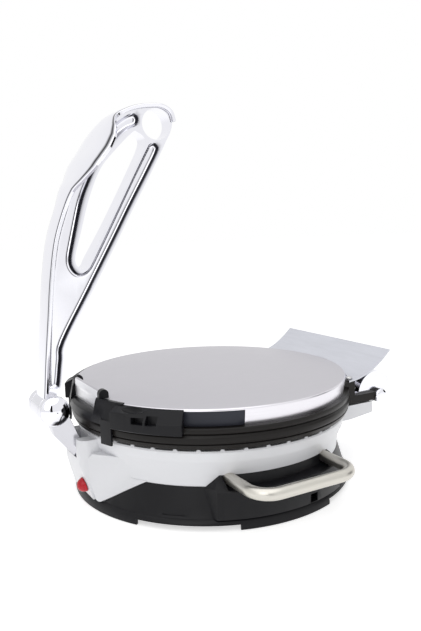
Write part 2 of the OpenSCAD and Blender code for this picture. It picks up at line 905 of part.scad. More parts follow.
module terminal_block() {
  color([0.9, 0.9, 0.86])
    difference() {
      translate([-16, terminal_y, deck_z + deck_t])
        cube([32, 12, 8]);
      for (a = [-10, 0, 10])
        translate([a, 0, deck_z + deck_t + 4])
          tube_y(1.6, terminal_y - 2, terminal_y + 14);
    }
}
module gland_place() {
  translate([ledge_r - base_lean * (gland_z - ledge_h) / (base_h - ledge_h), 0, gland_z])
    rotate([0, 90 - atan(base_lean / (base_h - ledge_h)), 0])
      children();
}
module cord_gland() {
  color([0.14, 0.14, 0.15])
    gland_place()
      difference() {
        union() {
          translate([0, 0, -base_wall - 5])
            cylinder(r = gland_r, h = base_wall + 12);
          translate([0, 0, 0.05])
            cylinder(r = gland_r + 3, h = 3);
          translate([0, 0, -base_wall - 3])
            cylinder(r = gland_r + 3, h = 2.5);
        }
        translate([0, 0, -30])
          cylinder(r = gland_r - 2.4, h = 60);
      }
}

// Hinge pin through the ears of the rear block
module hinge_pin() {
  color([0.8, 0.8, 0.82])
    translate([hinge_x, 0, hinge_z])
      union() {
        tube_y(hinge_pin_r, -arm_out - 1, arm_out + 1);
        for (s = [-1, 1])
          scale([1, s, 1])
            translate([0, -arm_out - 0.3, 0])
              rotate([90, 0, 0])
                rotate_extrude($fn = 64)
                  polygon([[0, 0], [7.5, 0], [7.5, 1.2], [6.8, 2.2], [4.5, 3], [0, 3.2]]);
      }
}

// Steel cover of the lid, with windows for the dark panels
function skirt_at(z, g) = skirt_r + (lid_r - skirt_r) * (z - skirt_z) / skirt_h + g;
function crown_at(r) = edge_z + crown_h * sin(90 * (1 - r / (lid_r - 3)));
function cover_out(g) = concat(
  [[skirt_r - g, skirt_z], [lid_r - g, edge_z - 2]],
  arc([lid_r - 2, edge_z - 2], 2 - g, 12, 84, 6),
  [for (i = [1 : 6]) [(lid_r - 3) * (1 - i / 6), crown_at((lid_r - 3) * (1 - i / 6)) - g]]
);
module panel_wedge(g) {
  half = (panel_to - panel_from) / 2 - g;
  for (s = [-1, 1])
    wedge(180 + s * (panel_from + panel_to) / 2, half, skirt_z - 1, edge_z - 2.2 - g);
}
// Side view of the press pad, and of the hollow under its sheet
function pad_top(t) = concat(
  arc([-flat_x + 2.5, edge_z + pad_up - 2.5], 2.5 - t, 180, 100, 5),
  [[-flat_x + pad_l, crown_at(flat_x - pad_l) + 0.1 - t]]
);
module pad_form() {
  side_plate(2 * fork_in - 0.2)
    polygon(concat([[-flat_x, skirt_z]], pad_top(0), [
      [-flat_x + pad_l, edge_z - 0.8], [-flat_x + steel_t + 1, edge_z - 1.5], [-flat_x + steel_t, skirt_z]
    ]));
}
module pad_hollow() {
  t = steel_t;
  side_plate(2 * fork_in - 0.2 - 2 * t)
    intersection() {
      polygon(concat([[-flat_x + t, skirt_z - 1]], pad_top(t), [
        [-flat_x + pad_l, skirt_z - 1]
      ]));
      translate([-flat_x, skirt_z - 2])
        square([pad_l - 3, 60]);
    }
}
module lid_cover() {
  color([0.78, 0.78, 0.8])
    difference() {
      union() {
        intersection() {
          turn(concat(cover_out(0), turned(cover_out(steel_t))));
          translate([-flat_x, -200, 0])
            cube([400, 400, 200]);
        }
        pad_form();
      }
      pad_hollow();
      intersection() {
        panel_wedge(0);
        ring(lid_r + 3, skirt_r - 8, skirt_z - 2, edge_z);
      }
    }
}
module skirt_panels() {
  z0 = skirt_z + 0.1;
  z1 = edge_z - 2.4;
  color([0.2, 0.22, 0.28])
    union() {
      intersection() {
        panel_wedge(0.1);
        turn([
          [skirt_at(z0, 0), z0], [skirt_at(z1, 0), z1], [skirt_at(z1, -steel_t - 0.1), z1],
          [skirt_at(z0, -steel_t - 0.1), z0]
        ]);
      }
      intersection() {
        panel_wedge(-1);
        turn([
          [skirt_at(z0, -steel_t - 0.1), z0], [skirt_at(z1, -steel_t - 0.1), z1],
          [skirt_at(z1, -steel_t - 1.3), z1], [skirt_at(z0, -steel_t - 1.3), z0]
        ]);
      }
    }
}

// Lid ring, upper hot plate and what lies above it
module lid_ring() {
  i = plate_r + plate_clear;
  color([0.15, 0.13, 0.13])
    difference() {
      turn([
        [i, lid_z], [ring_r - 1, lid_z], [ring_r, lid_z + 1], [ring_r, skirt_z - 1], [ring_r - 1, skirt_z],
        [i + 2.5, skirt_z], [i + 2.5, upper_top + 2.5], [i - ledge_w, upper_top + 2.5],
        [i - ledge_w, upper_top], [i, upper_top]
      ]);
      for (s = [-1, 1])
        translate([0, s * (arm_out - arm_w / 2), lid_z + lid_ring_h / 2])
          rotate([0, 90, 0])
            cylinder(r = screw_r, h = 200);
    }
}
module upper_plate() {
  color([0.28, 0.27, 0.27])
    difference() {
      turn([
        [0, upper_low], [plate_r - 0.8, upper_low], [plate_r, upper_low + 0.8],
        [plate_r, upper_top], [0, upper_top]
      ]);
      at_feet(stud_at)
        translate([0, 0, upper_low + 2])
          cylinder(r = screw_r, h = plate_t);
    }
}
module upper_element() {
  color([0.45, 0.42, 0.4])
    difference() {
      element(upper_top + element_tube_r + 0.1, 1);
      translate([0, 0, edge_z - 2])
        cylinder(r = 140, h = 20);
    }
}
module upper_clamps() {
  color([0.6, 0.6, 0.62])
    clamps(upper_top, 1);
}
module upper_reflector() {
  color([0.75, 0.75, 0.77])
    reflector(edge_z - 3, element_r + 26);
}
module lid_posts() {
  color([0.6, 0.6, 0.62])
    at_feet(stud_at)
      union() {
        translate([0, 0, upper_top])
          cylinder(r = stud_r, h = edge_z - upper_top - 1);
        translate([0, 0, upper_low + 3])
          cylinder(r = screw_r, h = plate_t);
      }
}

// Black fork round the press pad, with lugs that reach down over both rings
module lid_space(g) {
  difference() {
    turn(concat(
      [
        [0, lid_z - 40], [ring_r + lug_in, lid_z - 40], [ring_r + lug_in, lid_z - 0.3],
        [ring_r + g, lid_z - 0.3], [ring_r + g, skirt_z + g]
      ],
      [for (p = cover_out(-g)) [p[0], max(p[1], skirt_z + g)]]
    ));
    // The flat at the front
    translate([-flat_x - g - 100, -60, skirt_z + g])
      cube([100, 120, 100]);
  }
}
module front_sector(half, z0, z1) {
  intersection() {
    wedge(180, half, z0, z1);
    both_sides()
      translate([-300, fork_in, z0])
        cube([300, 300, z1 - z0]);
  }
}
module front_fork() {
  top = edge_z + post_up;
  color([0.1, 0.1, 0.11])
    difference() {
      union() {
        // Posts with round tops
        both_sides()
          side_plate(post_w, fork_in + post_w / 2)
            union() {
              translate([-flat_x - 0.6, skirt_z - 1])
                square([post_d, top - post_d / 2 - skirt_z + 1]);
              translate([-flat_x - 0.6 + post_d / 2, top - post_d / 2])
                circle(r = post_d / 2);
            }
        // Band round the skirt between each post and its wing
        intersection() {
          turn([
            [lid_r - lip, lid_z], [ring_r + 1.6, lid_z], [ring_r + 1.6, skirt_z], [lid_r + 2.4, edge_z - 2],
            [lid_r + 1.2, edge_z + lip_up], [lid_r - lip, edge_z + lip_up]
          ]);
          front_sector(wing_from - 0.08, lid_z, edge_z + 10);
        }
        // Sloping web below the pad
        intersection() {
          turn([
            [flat_x - 4, lid_z], [ring_r + 1.6, lid_z], [ring_r + 1.6, lid_z + 3],
            [ring_r + 0.8, skirt_z + 1.5], [ring_r - 2, skirt_z + 4], [flat_x - 4, skirt_z + 4]
          ]);
          translate([-300, -fork_in - 1, lid_z])
            cube([300, 2 * fork_in + 2, 20]);
        }
        // Lugs over both rings
        intersection() {
          union() {
            wedge(180 + lug_a, lug_half, lid_z - lug_drop, skirt_z);
            wedge(180 - lug_a, lug_half, lid_z - lug_drop, skirt_z);
          }
          cylinder(r = lug_r, h = skirt_z, $fn = 180);
        }
      }
      lid_space(0.06);
      // Seat of the press pad
      translate([-flat_x - 0.06, -fork_in, skirt_z])
        cube([20, 2 * fork_in, 40]);
    }
}

// Grip wings beside the fork: a shelf with a thumb dimple and two pockets in its face
module wing_form() {
  top_in = edge_z + lip_up;
  top_out = edge_z - wing_drop;
  mid = (wing_from + wing_to) / 2;
  half = (wing_to - wing_from) / 2;
  dimple_r = (lid_r + wing_reach) / 2;
  difference() {
    intersection() {
      union() {
        turn([
          [lid_r + 0.1, lid_z + 0.5], [wing_reach - 1, lid_z + 0.5], [wing_reach, lid_z + 1.5],
          [wing_reach, top_out - 1], [wing_reach - 1, top_out], [lid_r + 0.1, edge_z - 0.6]
        ]);
        // Lip that laps over the lid's edge beside the fork
        intersection() {
          turn([
            [lid_r - lip, edge_z - 2], [lid_r + 1, edge_z - 2], [lid_r + 2, edge_z - 1],
            [lid_r + 1, top_in], [lid_r - lip, top_in]
          ]);
          wedge(180 + wing_from, 2.6, edge_z - 3, top_in + 1);
        }
      }
      wedge(180 + mid, half, lid_z, edge_z + 10);
      // The face leans out towards its foot
      rotate([0, 0, 180 + mid + 8])
        translate([lid_r + 4, -100, edge_z - 3.9])
          rotate([0, -40, 0])
            translate([-100, 0, -60])
              cube([100, 200, 120]);
    }
    lid_space(0.06);
    // Thumb dimple, a lens turned about its own long axis
    rotate([0, 0, 180 + wing_from + 8])
      translate([dimple_r, 0, (edge_z + top_out) / 2 + 0.6])
        rotate([90, 0, 0])
          rotate_extrude($fn = 64)
            intersection() {
              translate([-18, 0])
                circle(r = 22.2, $fn = 128);
              translate([0, -20])
                square([30, 40]);
            }
    // Two pockets in the face
    difference() {
      union() {
        wedge(180 + wing_from + 11, 2.2, lid_z + 8.2, lid_z + 14);
        wedge(180 + wing_from + 16, 2, lid_z + 8.2, lid_z + 15.6);
      }
      cylinder(r = wing_reach - 6.5, h = 200, $fn = 180);
    }
  }
}
module grip_wing_near() {
  color([0.12, 0.12, 0.13])
    wing_form();
}
module grip_wing_far() {
  color([0.12, 0.12, 0.13])
    mirror([0, 1, 0])
      wing_form();
}

// Guard sheet profile, which the risers of the hinge arms also follow
function guard_line() = open_curve([
  [ring_r - 35, edge_z - 10.6], [ring_r - 29, edge_z - 9.4], [ring_r - 15, edge_z - 7.4],
  [ring_r + 1, edge_z - 1.4], [ring_r + guard_out * 0.58, edge_z + guard_up * 0.45],
  [guard_x, edge_z + guard_up]
], 5);

// Hinge arms of the lid, near and far
module hinge_arm(s) {
  z = hinge_z;
  b = bar_h / 2 + 1;
  difference() {
    union() {
      side_plate(arm_w, s * (arm_out - arm_w / 2))
        union() {
          translate([hinge_x, z])
            circle(r = eye_out);
          polygon([
            [arm_from, z - 3], [hinge_x, z - 3], [hinge_x, z + b], [riser_x, z + b],
            [riser_x, z + 30], [arm_from, z + 30]
          ]);
        }
    }
    translate([0, 0, z - 10])
      cylinder(r = ring_r + 0.5, h = lid_z - z + 10, $fn = 180);
    translate([0, 0, lid_z - 0.3])
      cylinder(r = ring_r + 0.06, h = lid_ring_h + 0.36, $fn = 180);
    translate([0, 0, skirt_z])
      cylinder(r1 = skirt_r + 0.1, r2 = lid_r + 0.1, h = skirt_h - 2, $fn = 180);
    side_plate(400)
      polygon(concat(
        [for (p = guard_line()) p - [0, sheet_t + 0.02]],
        [
          [ring_r + 60, edge_z + guard_up], [ring_r + 60, edge_z + 60], [arm_from - 10, edge_z + 60],
          [arm_from - 10, edge_z - 11]
        ]
      ));
    translate([hinge_x, 0, z])
      tube_y(hinge_pin_r + pin_clear, -arm_out - 2, arm_out + 2);
    translate([arm_from, s * (arm_out - arm_w / 2), lid_z + lid_ring_h / 2])
      rotate([0, 90, 0])
        cylinder(r = screw_r, h = 60);
    translate([guard_stud_x, s * (arm_out - arm_w / 2), lid_z])
      cylinder(r = screw_r, h = 40);
  }
}
module hinge_arm_near() {
  color([0.12, 0.12, 0.13])
    hinge_arm(-1);
}
module hinge_arm_far() {
  color([0.12, 0.12, 0.13])
    hinge_arm(1);
}
module arm_screws() {
  color([0.6, 0.6, 0.62])
    for (s = [-1, 1])
      translate([riser_x, s * (arm_out - arm_w / 2), lid_z + lid_ring_h / 2])
        rotate([0, 90, 0])
          union() {
            translate([0, 0, -14])
              cylinder(r = screw_r, h = 15);
            cylinder(r = screw_r * 1.9, h = 1.6);
          }
}

// Curved bright cover over the hinge
module hinge_cover() {
  z = hinge_z + bar_h / 2 + 1;
  c = hinge_x - 2.5;
  w = 2 * arm_out - arm_w;
  color([0.82, 0.82, 0.84])
    difference() {
      union() {
        intersection() {
          difference() {
            translate([c, 0, z - 2])
              tube_y(cover_r, -w / 2, w / 2);
            translate([c, 0, z - 2])
              tube_y(cover_r - sheet_t, -w, w);
          }
          translate([c - 60, -w, z])
            cube([120, 2 * w, 60]);
        }
        // Closed ends
        both_sides()
          intersection() {
            translate([c, 0, z - 2])
              tube_y(cover_r, w / 2 - sheet_t, w / 2);
            translate([c - 60, -w, z])
              cube([120, 2 * w, 60]);
          }
        both_sides()
          translate([c - cover_r - 6, arm_out - arm_w + 0.2, z])
            cube([7, arm_w / 2 - 0.2, sheet_t]);
      }
      translate([0, 0, z - 10])
        cylinder(r = ring_r + 0.5, h = skirt_z - z + 11, $fn = 180);
      translate([0, 0, z])
        cylinder(r = lid_r + 0.4, h = 60, $fn = 180);
      translate([riser_x - 20, -2 * arm_out, z - 5])
        cube([20.4, 4 * arm_out, 30]);
      translate([hinge_x, 0, hinge_z])
        tube_y(eye_out + fit, -w, w);
    }
}

// Guard sheet behind the lid and its screws
module rear_guard() {
  color([0.8, 0.8, 0.82])
    difference() {
      side_plate(2 * guard_half)
        polygon(concat(guard_line(), turned([for (p = guard_line()) p - [0, sheet_t]])));
      translate([0, 0, lid_z])
        cylinder(r = lid_r + guard_gap, h = 60, $fn = 180);
      for (s = [-1, 1])
        translate([guard_stud_x, s * (arm_out - arm_w / 2), lid_z])
          cylinder(r = screw_r + 0.1, h = 40);
    }
}
module guard_studs() {
  color([0.6, 0.6, 0.62])
    for (s = [-1, 1])
      translate([guard_stud_x, s * (arm_out - arm_w / 2), edge_z - 8.2])
        union() {
          translate([0, 0, -7])
            cylinder(r = screw_r, h = 8);
          rotate_extrude($fn = 48)
            polygon([[0, 0], [screw_r * 2, 0], [screw_r * 2, 0.8], [screw_r * 1.2, 1.7], [0, 1.9]]);
        }
}

// Folding press lever: spine, web with its long slot, hub and palm rest
lever_k = lever_l / 280;
lever_outer = [
  [-9, 3], [-7.6, 13.5], [-4.6, 46], [-0.6, 82], [3.4, 117.5], [9.4, 151.5], [19.4, 180.5], [25.4, 196],
  [32.4, 206.5], [40.4, 220.5], [49.4, 232.5], [57.4, 245], [64.4, 255], [73, 263], [92, 271.3],
  [111.4, 274.3], [122.4, 273.5], [131.4, 268], [134.6, 258.5]
];
lever_inner = [
  [7, 3], [11.4, 14.5], [14.4, 43], [18, 59], [44, 103], [71.4, 149.5], [86.4, 175.5], [104.4, 205.5],
  [119.4, 231.5], [124, 240], [128.4, 247.5], [130.6, 256]
];
lever_slot = [
  [94.4, 247.3], [89.4, 246.3], [73.4, 231.5], [57.4, 213.5], [45.4, 187.5], [36.4, 158.5], [29.4, 133.5],
  [34.4, 124.5], [40.4, 127.3], [43.4, 133.3], [63.4, 165.5], [89.4, 211.5], [102.4, 238.5]
];
function outer_pts() = [for (p = open_curve(lever_outer, 4)) p * lever_k];
function inner_pts() = [for (p = open_curve(lever_inner, 3)) p * lever_k];
function slot_pts(g) = [for (p = inset(ring_curve(lever_slot, 4), g)) p * lever_k];
module lever_outline() {
  h = spine_w / 2;
  p = palm_half;
  right = open_curve([
    [h, -20], [h, 120], [h, 180], [h + (p - h) * 0.18, 196], [h + (p - h) * 0.5, 206.5],
    [h + (p - h) * 0.86, 214], [p, 223], [p + 0.8, 233], [p - 1, 244], [h + (p - h) * 0.7, 251.5],
    [h + (p - h) * 0.25, 258], [h - 1, 262.5], [h - 2, 270], [h - 2, 290]
  ], 4);
  polygon(concat(
    [for (q = right) [q[0], q[1] * lever_k]],
    turned([for (q = right) [-q[0], q[1] * lever_k]])
  ));
}
module press_lever() {
  hr = hub_r;
  color([0.84, 0.84, 0.86])
    translate([-pivot_x, 0, pivot_z])
      difference() {
        union() {
          // Spine and palm rest, bent along the outer curve
          intersection() {
            side_plate(2 * palm_half + 4)
              polygon(concat(outer_pts(), turned(inset(outer_pts(), spine_t))));
            front_plate(-40, 160)
              lever_outline();
            translate([0, 0, -20])
              linear_extrude(height = lever_l * 1.2)
                polygon([
                  [-60, -palm_half - 5], [62 * lever_k, -palm_half - 5], [74 * lever_k, -spine_w / 2 + 1],
                  [160, -spine_w / 2 + 2], [160, spine_w / 2 - 2], [74 * lever_k, spine_w / 2 - 1],
                  [62 * lever_k, palm_half + 5], [-60, palm_half + 5]
                ]);
          }
          // Web between the spine and the inner edge
          side_plate(web_w)
            polygon(concat(inset(outer_pts(), 0.6), turned(inner_pts())));
          tube_y(hr, -hub_l / 2, hub_l / 2);
        }
        side_plate(web_w + 10)
          polygon(slot_pts(0));
        translate([114.4 * lever_k, 0, 255.3 * lever_k])
          tube_y(hang_r, -30, 30);
        // Shallow grooves in both faces of the web
        both_sides()
          translate([0, web_w / 2, 0])
            side_plate(3.4)
              polygon(concat(
                [for (i = [8 : 30]) inset(outer_pts(), spine_t + 4)[i]],
                turned([for (i = [8 : 30]) inset(outer_pts(), spine_t + 9.5)[i]])
              ));
        // Slot for the fixed arm
        intersection() {
          tube_y(pocket_r, -press_w / 2 - hub_gap, press_w / 2 + hub_gap);
          side_plate(press_w + 2 * hub_gap)
            polygon(concat([[0, 0]], arc([0, 0], 60, -142, 74, 20)));
        }
        tube_y(eye_r + 0.6, -press_w / 2 - hub_gap, press_w / 2 + hub_gap);
        tube_y(lever_pin_r + 0.01, -hub_l, hub_l);
      }
}
module lever_pin() {
  color([0.7, 0.7, 0.72])
    translate([-pivot_x, 0, pivot_z])
      tube_y(lever_pin_r, -hub_l / 2, hub_l / 2);
}
module hub_caps() {
  r = hub_r - 0.3;
  ball = (r * r + dome_h * dome_h) / (2 * dome_h);
  color([0.88, 0.88, 0.9])
    translate([-pivot_x, 0, pivot_z])
      both_sides()
        translate([0, hub_l / 2, 0])
          rotate([-90, 0, 0])
            rotate_extrude($fn = 96)
              polygon(concat([[0, 0], [r, 0]], arc([0, 0.6 + dome_h - ball], ball, acos(r / ball), 90, 9)));
}

base_shell();
base_floor();
rubber_feet();
floor_screws();
side_handle();
handle_screws();
body_bowl();
lamp_lens();
lamp_holder();
press_arm();
arm_bolts();
lower_ring();
lower_plate();
lower_element();
lower_clamps();
lower_reflector();
reflector_posts();
thermostat();
thermal_fuse();
terminal_block();
cord_gland();
hinge_pin();
lid_cover();
lid_ring();
skirt_panels();
front_fork();
grip_wing_near();
grip_wing_far();
upper_plate();
upper_element();
upper_clamps();
upper_reflector();
lid_posts();
hinge_arm_near();
hinge_arm_far();
arm_screws();
hinge_cover();
rear_guard();
guard_studs();
press_lever();
lever_pin();
hub_caps();
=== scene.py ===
import math
import bpy
import bmesh
from mathutils import Matrix, Vector


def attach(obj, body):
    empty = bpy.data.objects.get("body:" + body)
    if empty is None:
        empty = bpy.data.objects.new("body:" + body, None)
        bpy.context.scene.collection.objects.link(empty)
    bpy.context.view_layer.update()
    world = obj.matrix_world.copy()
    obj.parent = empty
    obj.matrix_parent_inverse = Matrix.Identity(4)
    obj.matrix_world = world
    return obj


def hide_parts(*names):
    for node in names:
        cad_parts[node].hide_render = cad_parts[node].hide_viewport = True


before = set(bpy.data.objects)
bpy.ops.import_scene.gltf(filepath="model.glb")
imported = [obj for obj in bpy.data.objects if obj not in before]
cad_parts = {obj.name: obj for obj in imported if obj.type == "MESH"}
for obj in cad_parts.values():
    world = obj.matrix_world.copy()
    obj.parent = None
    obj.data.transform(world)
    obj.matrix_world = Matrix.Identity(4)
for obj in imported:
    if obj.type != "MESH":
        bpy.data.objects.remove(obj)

bl_info = {
    "name": "Roti Maker Dressing",
    "version": (1, 0, 0),
    "blender": (4, 5, 0),
    "location": "View3D > Sidebar > Roti",
    "description": "Dresses the electric roti maker: castings, rings, sheets, mouldings "
                   "and a plain studio",
    "category": "Object",
}

MM = 0.001
PIVOT = Vector((-0.1704, 0.0, 0.0977))    # axis of the press lever, which turns about Y


# Sizes and colours

class LeverSizes(bpy.types.PropertyGroup):
    web: bpy.props.FloatProperty(
        name="Web", description="Width of the lever's web", default=0.018, unit="LENGTH")
    spine: bpy.props.FloatProperty(
        name="Spine", description="Width of the spine along the neck", default=0.030,
        unit="LENGTH")
    palm: bpy.props.FloatProperty(
        name="Palm rest", description="Half width of the palm rest", default=0.044,
        unit="LENGTH")
    wall: bpy.props.FloatProperty(
        name="Wall", description="Thickness of the spine's sheet", default=0.0036,
        unit="LENGTH")
    groove: bpy.props.FloatProperty(
        name="Panel depth", description="Depth of the sunk panels in the web", default=0.0042,
        unit="LENGTH")
    web_edge: bpy.props.FloatProperty(
        name="Web edges", description="Edge rounding of the web", default=0.0009,
        unit="LENGTH")
    spine_edge: bpy.props.FloatProperty(
        name="Spine edges", description="Edge rounding of the spine", default=0.0011,
        unit="LENGTH")
    hub_edge: bpy.props.FloatProperty(
        name="Hub edges", description="Edge rounding of the hub barrel", default=0.0007,
        unit="LENGTH")


class EdgeSizes(bpy.types.PropertyGroup):
    plastic: bpy.props.FloatProperty(
        name="Plastic edges", description="Edge rounding of base, fork and grip wings",
        default=0.0006, unit="LENGTH")
    white: bpy.props.FloatProperty(
        name="White edges", description="Edge rounding of the white body", default=0.0014,
        unit="LENGTH")
    casting: bpy.props.FloatProperty(
        name="Casting edges", description="Edge rounding of the fixed arm", default=0.0006,
        unit="LENGTH")
    hinge: bpy.props.FloatProperty(
        name="Hinge edges", description="Edge rounding of the hinge arms", default=0.0004,
        unit="LENGTH")
    ring: bpy.props.FloatProperty(
        name="Ring edges", description="Edge rounding of rings, plates, panels and hinge pin",
        default=0.0003, unit="LENGTH")
    sheet: bpy.props.FloatProperty(
        name="Sheet edges", description="Edge rounding of sheets, handle and lamp lens",
        default=0.0002, unit="LENGTH")


class Finishes(bpy.types.PropertyGroup):
    white: bpy.props.FloatVectorProperty(
        name="White body", description="Colour of the bowl", subtype="COLOR",
        default=(0.71, 0.715, 0.74))
    black: bpy.props.FloatVectorProperty(
        name="Base", description="Colour of the black base", subtype="COLOR",
        default=(0.0065, 0.0065, 0.008))
    ring: bpy.props.FloatVectorProperty(
        name="Rings", description="Colour of the black rings", subtype="COLOR",
        default=(0.0085, 0.0072, 0.0066))
    chrome: bpy.props.FloatVectorProperty(
        name="Chrome", description="Colour of the plated castings", subtype="COLOR",
        default=(0.83, 0.83, 0.88))
    cover: bpy.props.FloatVectorProperty(
        name="Lid cover", description="Colour of the satin lid", subtype="COLOR",
        default=(0.56, 0.55, 0.58))
    tube: bpy.props.FloatVectorProperty(
        name="Handle", description="Colour of the brushed handle", subtype="COLOR",
        default=(0.62, 0.60, 0.55))
    lens: bpy.props.FloatVectorProperty(
        name="Lamp", description="Colour of the lamp lens", subtype="COLOR",
        default=(0.46, 0.006, 0.016))


class StageSizes(bpy.types.PropertyGroup):
    lens: bpy.props.FloatProperty(
        name="Lens", description="Focal length of the camera in millimetres", default=37.944,
        unit="CAMERA")
    key: bpy.props.FloatProperty(
        name="Key light", description="Power of the large overhead light", default=8.0,
        unit="POWER")
    fill: bpy.props.FloatProperty(
        name="Fill light", description="Power of the light beside the camera", default=4.0,
        unit="POWER")


# Shader maths

OBJECT_OUTPUT = 3                 # Texture Coordinate: Object
ATTRIBUTE_FACTOR = 2              # Attribute: Factor
MIX_FACTOR, MIX_A, MIX_B, MIX_RESULT = 0, 6, 7, 2    # Mix, in its colour form


class Wire:
    """A socket with operators: an expression on values adds its Math nodes."""

    def __init__(self, shader, socket):
        self.shader = shader
        self.socket = socket

    def maths(self, operation, *others):
        return self.shader.maths(operation, self, *others)

    def __add__(self, other): return self.maths("ADD", other)
    def __radd__(self, other): return self.maths("ADD", other)
    def __sub__(self, other): return self.maths("SUBTRACT", other)
    def __rsub__(self, other): return self.shader.maths("SUBTRACT", other, self)
    def __mul__(self, other): return self.maths("MULTIPLY", other)
    def __rmul__(self, other): return self.maths("MULTIPLY", other)

    def ramp(self, low, high):
        """0 below low, 1 above high, smooth between."""
        return self.shader.add("ShaderNodeMapRange", {"interpolation_type": "SMOOTHSTEP"},
                               {"Value": self, "From Min": low, "From Max": high})[0]


class Shader:
    """A node material with one Principled shader."""

    def __init__(self, name, **constants):
        self.material = bpy.data.materials.new(name)
        self.material.use_nodes = True
        self.tree = self.material.node_tree
        self.surface = next(n for n in self.tree.nodes if n.type == "BSDF_PRINCIPLED")
        for key, value in constants.items():
            self.set(key.replace("_", " "), value)

    def add(self, kind, settings=None, sockets=None):
        """One node: its settings first, then the values or links of its sockets."""
        node = self.tree.nodes.new(kind)
        for key, value in (settings or {}).items():
            setattr(node, key, value)
        pairs = sockets.items() if isinstance(sockets, dict) else enumerate(sockets or [])
        for key, value in pairs:
            self.join(node.inputs[key], value)
        return [Wire(self, output) for output in node.outputs]

    def join(self, socket, value):
        if isinstance(value, Wire):
            self.tree.links.new(value.socket, socket)
        elif isinstance(value, tuple) and len(value) == 3 and len(socket.default_value) == 4:
            socket.default_value = (*value, 1.0)
        else:
            socket.default_value = value

    def set(self, name, value):
        self.join(self.surface.inputs[name], value)

    def maths(self, operation, *values):
        return self.add("ShaderNodeMath", {"operation": operation}, values)[0]

    def place(self, scale=(1, 1, 1)):
        """Object coordinates, scaled."""
        found = self.add("ShaderNodeTexCoord")[OBJECT_OUTPUT]
        return self.add("ShaderNodeMapping", {}, {"Vector": found, "Scale": scale})[0]

    def axes(self):
        """Object coordinates, as three values."""
        found = self.add("ShaderNodeTexCoord")[OBJECT_OUTPUT]
        return self.add("ShaderNodeSeparateXYZ", {}, [found])

    def noise(self, where, scale, detail=2.0, roughness=0.5):
        return self.add("ShaderNodeTexNoise", {}, {"Vector": where, "Scale": scale,
                                                   "Detail": detail, "Roughness": roughness})[0]

    def blend(self, factor, first, second):
        return self.add("ShaderNodeMix", {"data_type": "RGBA"},
                        {MIX_FACTOR: factor, MIX_A: first, MIX_B: second})[MIX_RESULT]

    def tones(self, factor, colour, low, high):
        """The colour, from low times to high times its brightness."""
        return self.blend(factor, shade(colour, low), shade(colour, high))

    def bump(self, height, strength, distance):
        self.set("Normal", self.add("ShaderNodeBump", {}, {"Height": height, "Strength": strength,
                                                           "Distance": distance})[0])


def shade(colour, k):
    return tuple(min(1.0, max(0.0, c * k)) for c in colour[:3])


# Materials

def moulded(name, colour, rough, grain, scale=2600.0):
    """Moulded plastic with a fine spark grain and a slow drift of sheen."""
    s = Shader(name, Specular_IOR_Level=0.2)
    where = s.place()
    slow = s.noise(where, scale=22.0, detail=3.0)
    s.set("Base Color", s.tones(slow, colour, 0.82, 1.2))
    s.set("Roughness", rough - 0.05 + slow * 0.10)
    s.bump(s.noise(where, scale), grain, distance=0.00008)
    return s.material


def white_gloss(name, colour):
    """Glossy white moulding: even colour, faint flow marks and a soft skin."""
    s = Shader(name, Specular_IOR_Level=0.5, Coat_Weight=0.25, Coat_Roughness=0.12)
    where = s.place()
    slow = s.noise(where, scale=14.0)
    s.set("Base Color", s.tones(slow, colour, 0.97, 1.02))
    s.set("Roughness", 0.30 + slow * 0.08)
    s.bump(s.noise(where, scale=900.0), strength=0.06, distance=0.00006)
    return s.material


def plated(name, colour, rough):
    """Chrome plating over a polished casting: bright, with faint waves and wipe marks."""
    s = Shader(name, Metallic=1.0)
    where = s.place()
    wipe = s.noise(where, scale=60.0, detail=4.0, roughness=0.65)
    s.set("Base Color", s.tones(wipe, colour, 0.97, 1.03))
    s.set("Roughness", rough + wipe * 0.05)
    s.bump(s.noise(where, scale=160.0), strength=0.03, distance=0.0002)
    return s.material


def web_plating(name, colour):
    """Chrome plating with a painted dark reflection where the mesh's cove attribute says so."""
    s = Shader(name, Metallic=1.0)
    where = s.place()
    wipe = s.noise(where, scale=60.0, detail=4.0, roughness=0.65)
    painted = s.add("ShaderNodeAttribute", {"attribute_name": "cove"})[ATTRIBUTE_FACTOR]
    cove = painted.ramp(0.1, 0.9)
    # painted reflection: the coves and edge lines blend to near black
    s.set("Base Color", s.blend(cove, s.tones(wipe, colour, 0.97, 1.03), (0.018, 0.018, 0.022)))
    s.set("Roughness", 0.07 + wipe * 0.05 + cove * 0.15)
    return s.material


def cap_plating(name, colour):
    """The hub's domes: mirror plating with a painted dark reflection, a crescent low on the side
    towards the lid.
    """
    s = Shader(name, Metallic=1.0)
    x, _, z = s.axes()
    across = (x - PIVOT.x) * (1 / MM)
    along = (z - PIVOT.z) * (1 / MM)
    out = (across * across + along * along).maths("SQRT")    # millimetres from the axis
    side = (across * 0.8 - along * 0.6).ramp(1.0, 5.0)
    # painted reflection: a dark crescent 6.5 to 12.4 millimetres from the axis, on the side
    # towards the lid
    dark = out.ramp(6.5, 8.5) * (1 - out.ramp(11.6, 12.4)) * side
    wipe = s.noise(s.place(), scale=60.0, detail=3.0)
    s.set("Base Color", s.blend(dark, s.tones(wipe, colour, 0.95, 1.02), (0.02, 0.02, 0.024)))
    s.set("Roughness", 0.03 + wipe * 0.03)
    return s.material


def brushed(name, colour, grain, rough, depth):
    """Brushed metal: the grain runs along the axis with the smallest scale."""
    s = Shader(name, Metallic=1.0)
    lines = s.noise(s.place(grain), scale=1.0, detail=5.0, roughness=0.7)
    s.set("Base Color", s.tones(lines, colour, 0.86, 1.1))
    s.set("Roughness", rough - 0.05 + lines * 0.14)
    s.bump(lines, depth, distance=0.00006)
    return s.material


LID_EDGE = (0.1066, 0.1074)       # height at which the lid's skirt turns into its top; the skirt below it carries a painted sheen
PAD_EDGE = (0.1336, 0.1341)       # distance towards the front at which the press pad's face is; the face is painted pale as a highlight
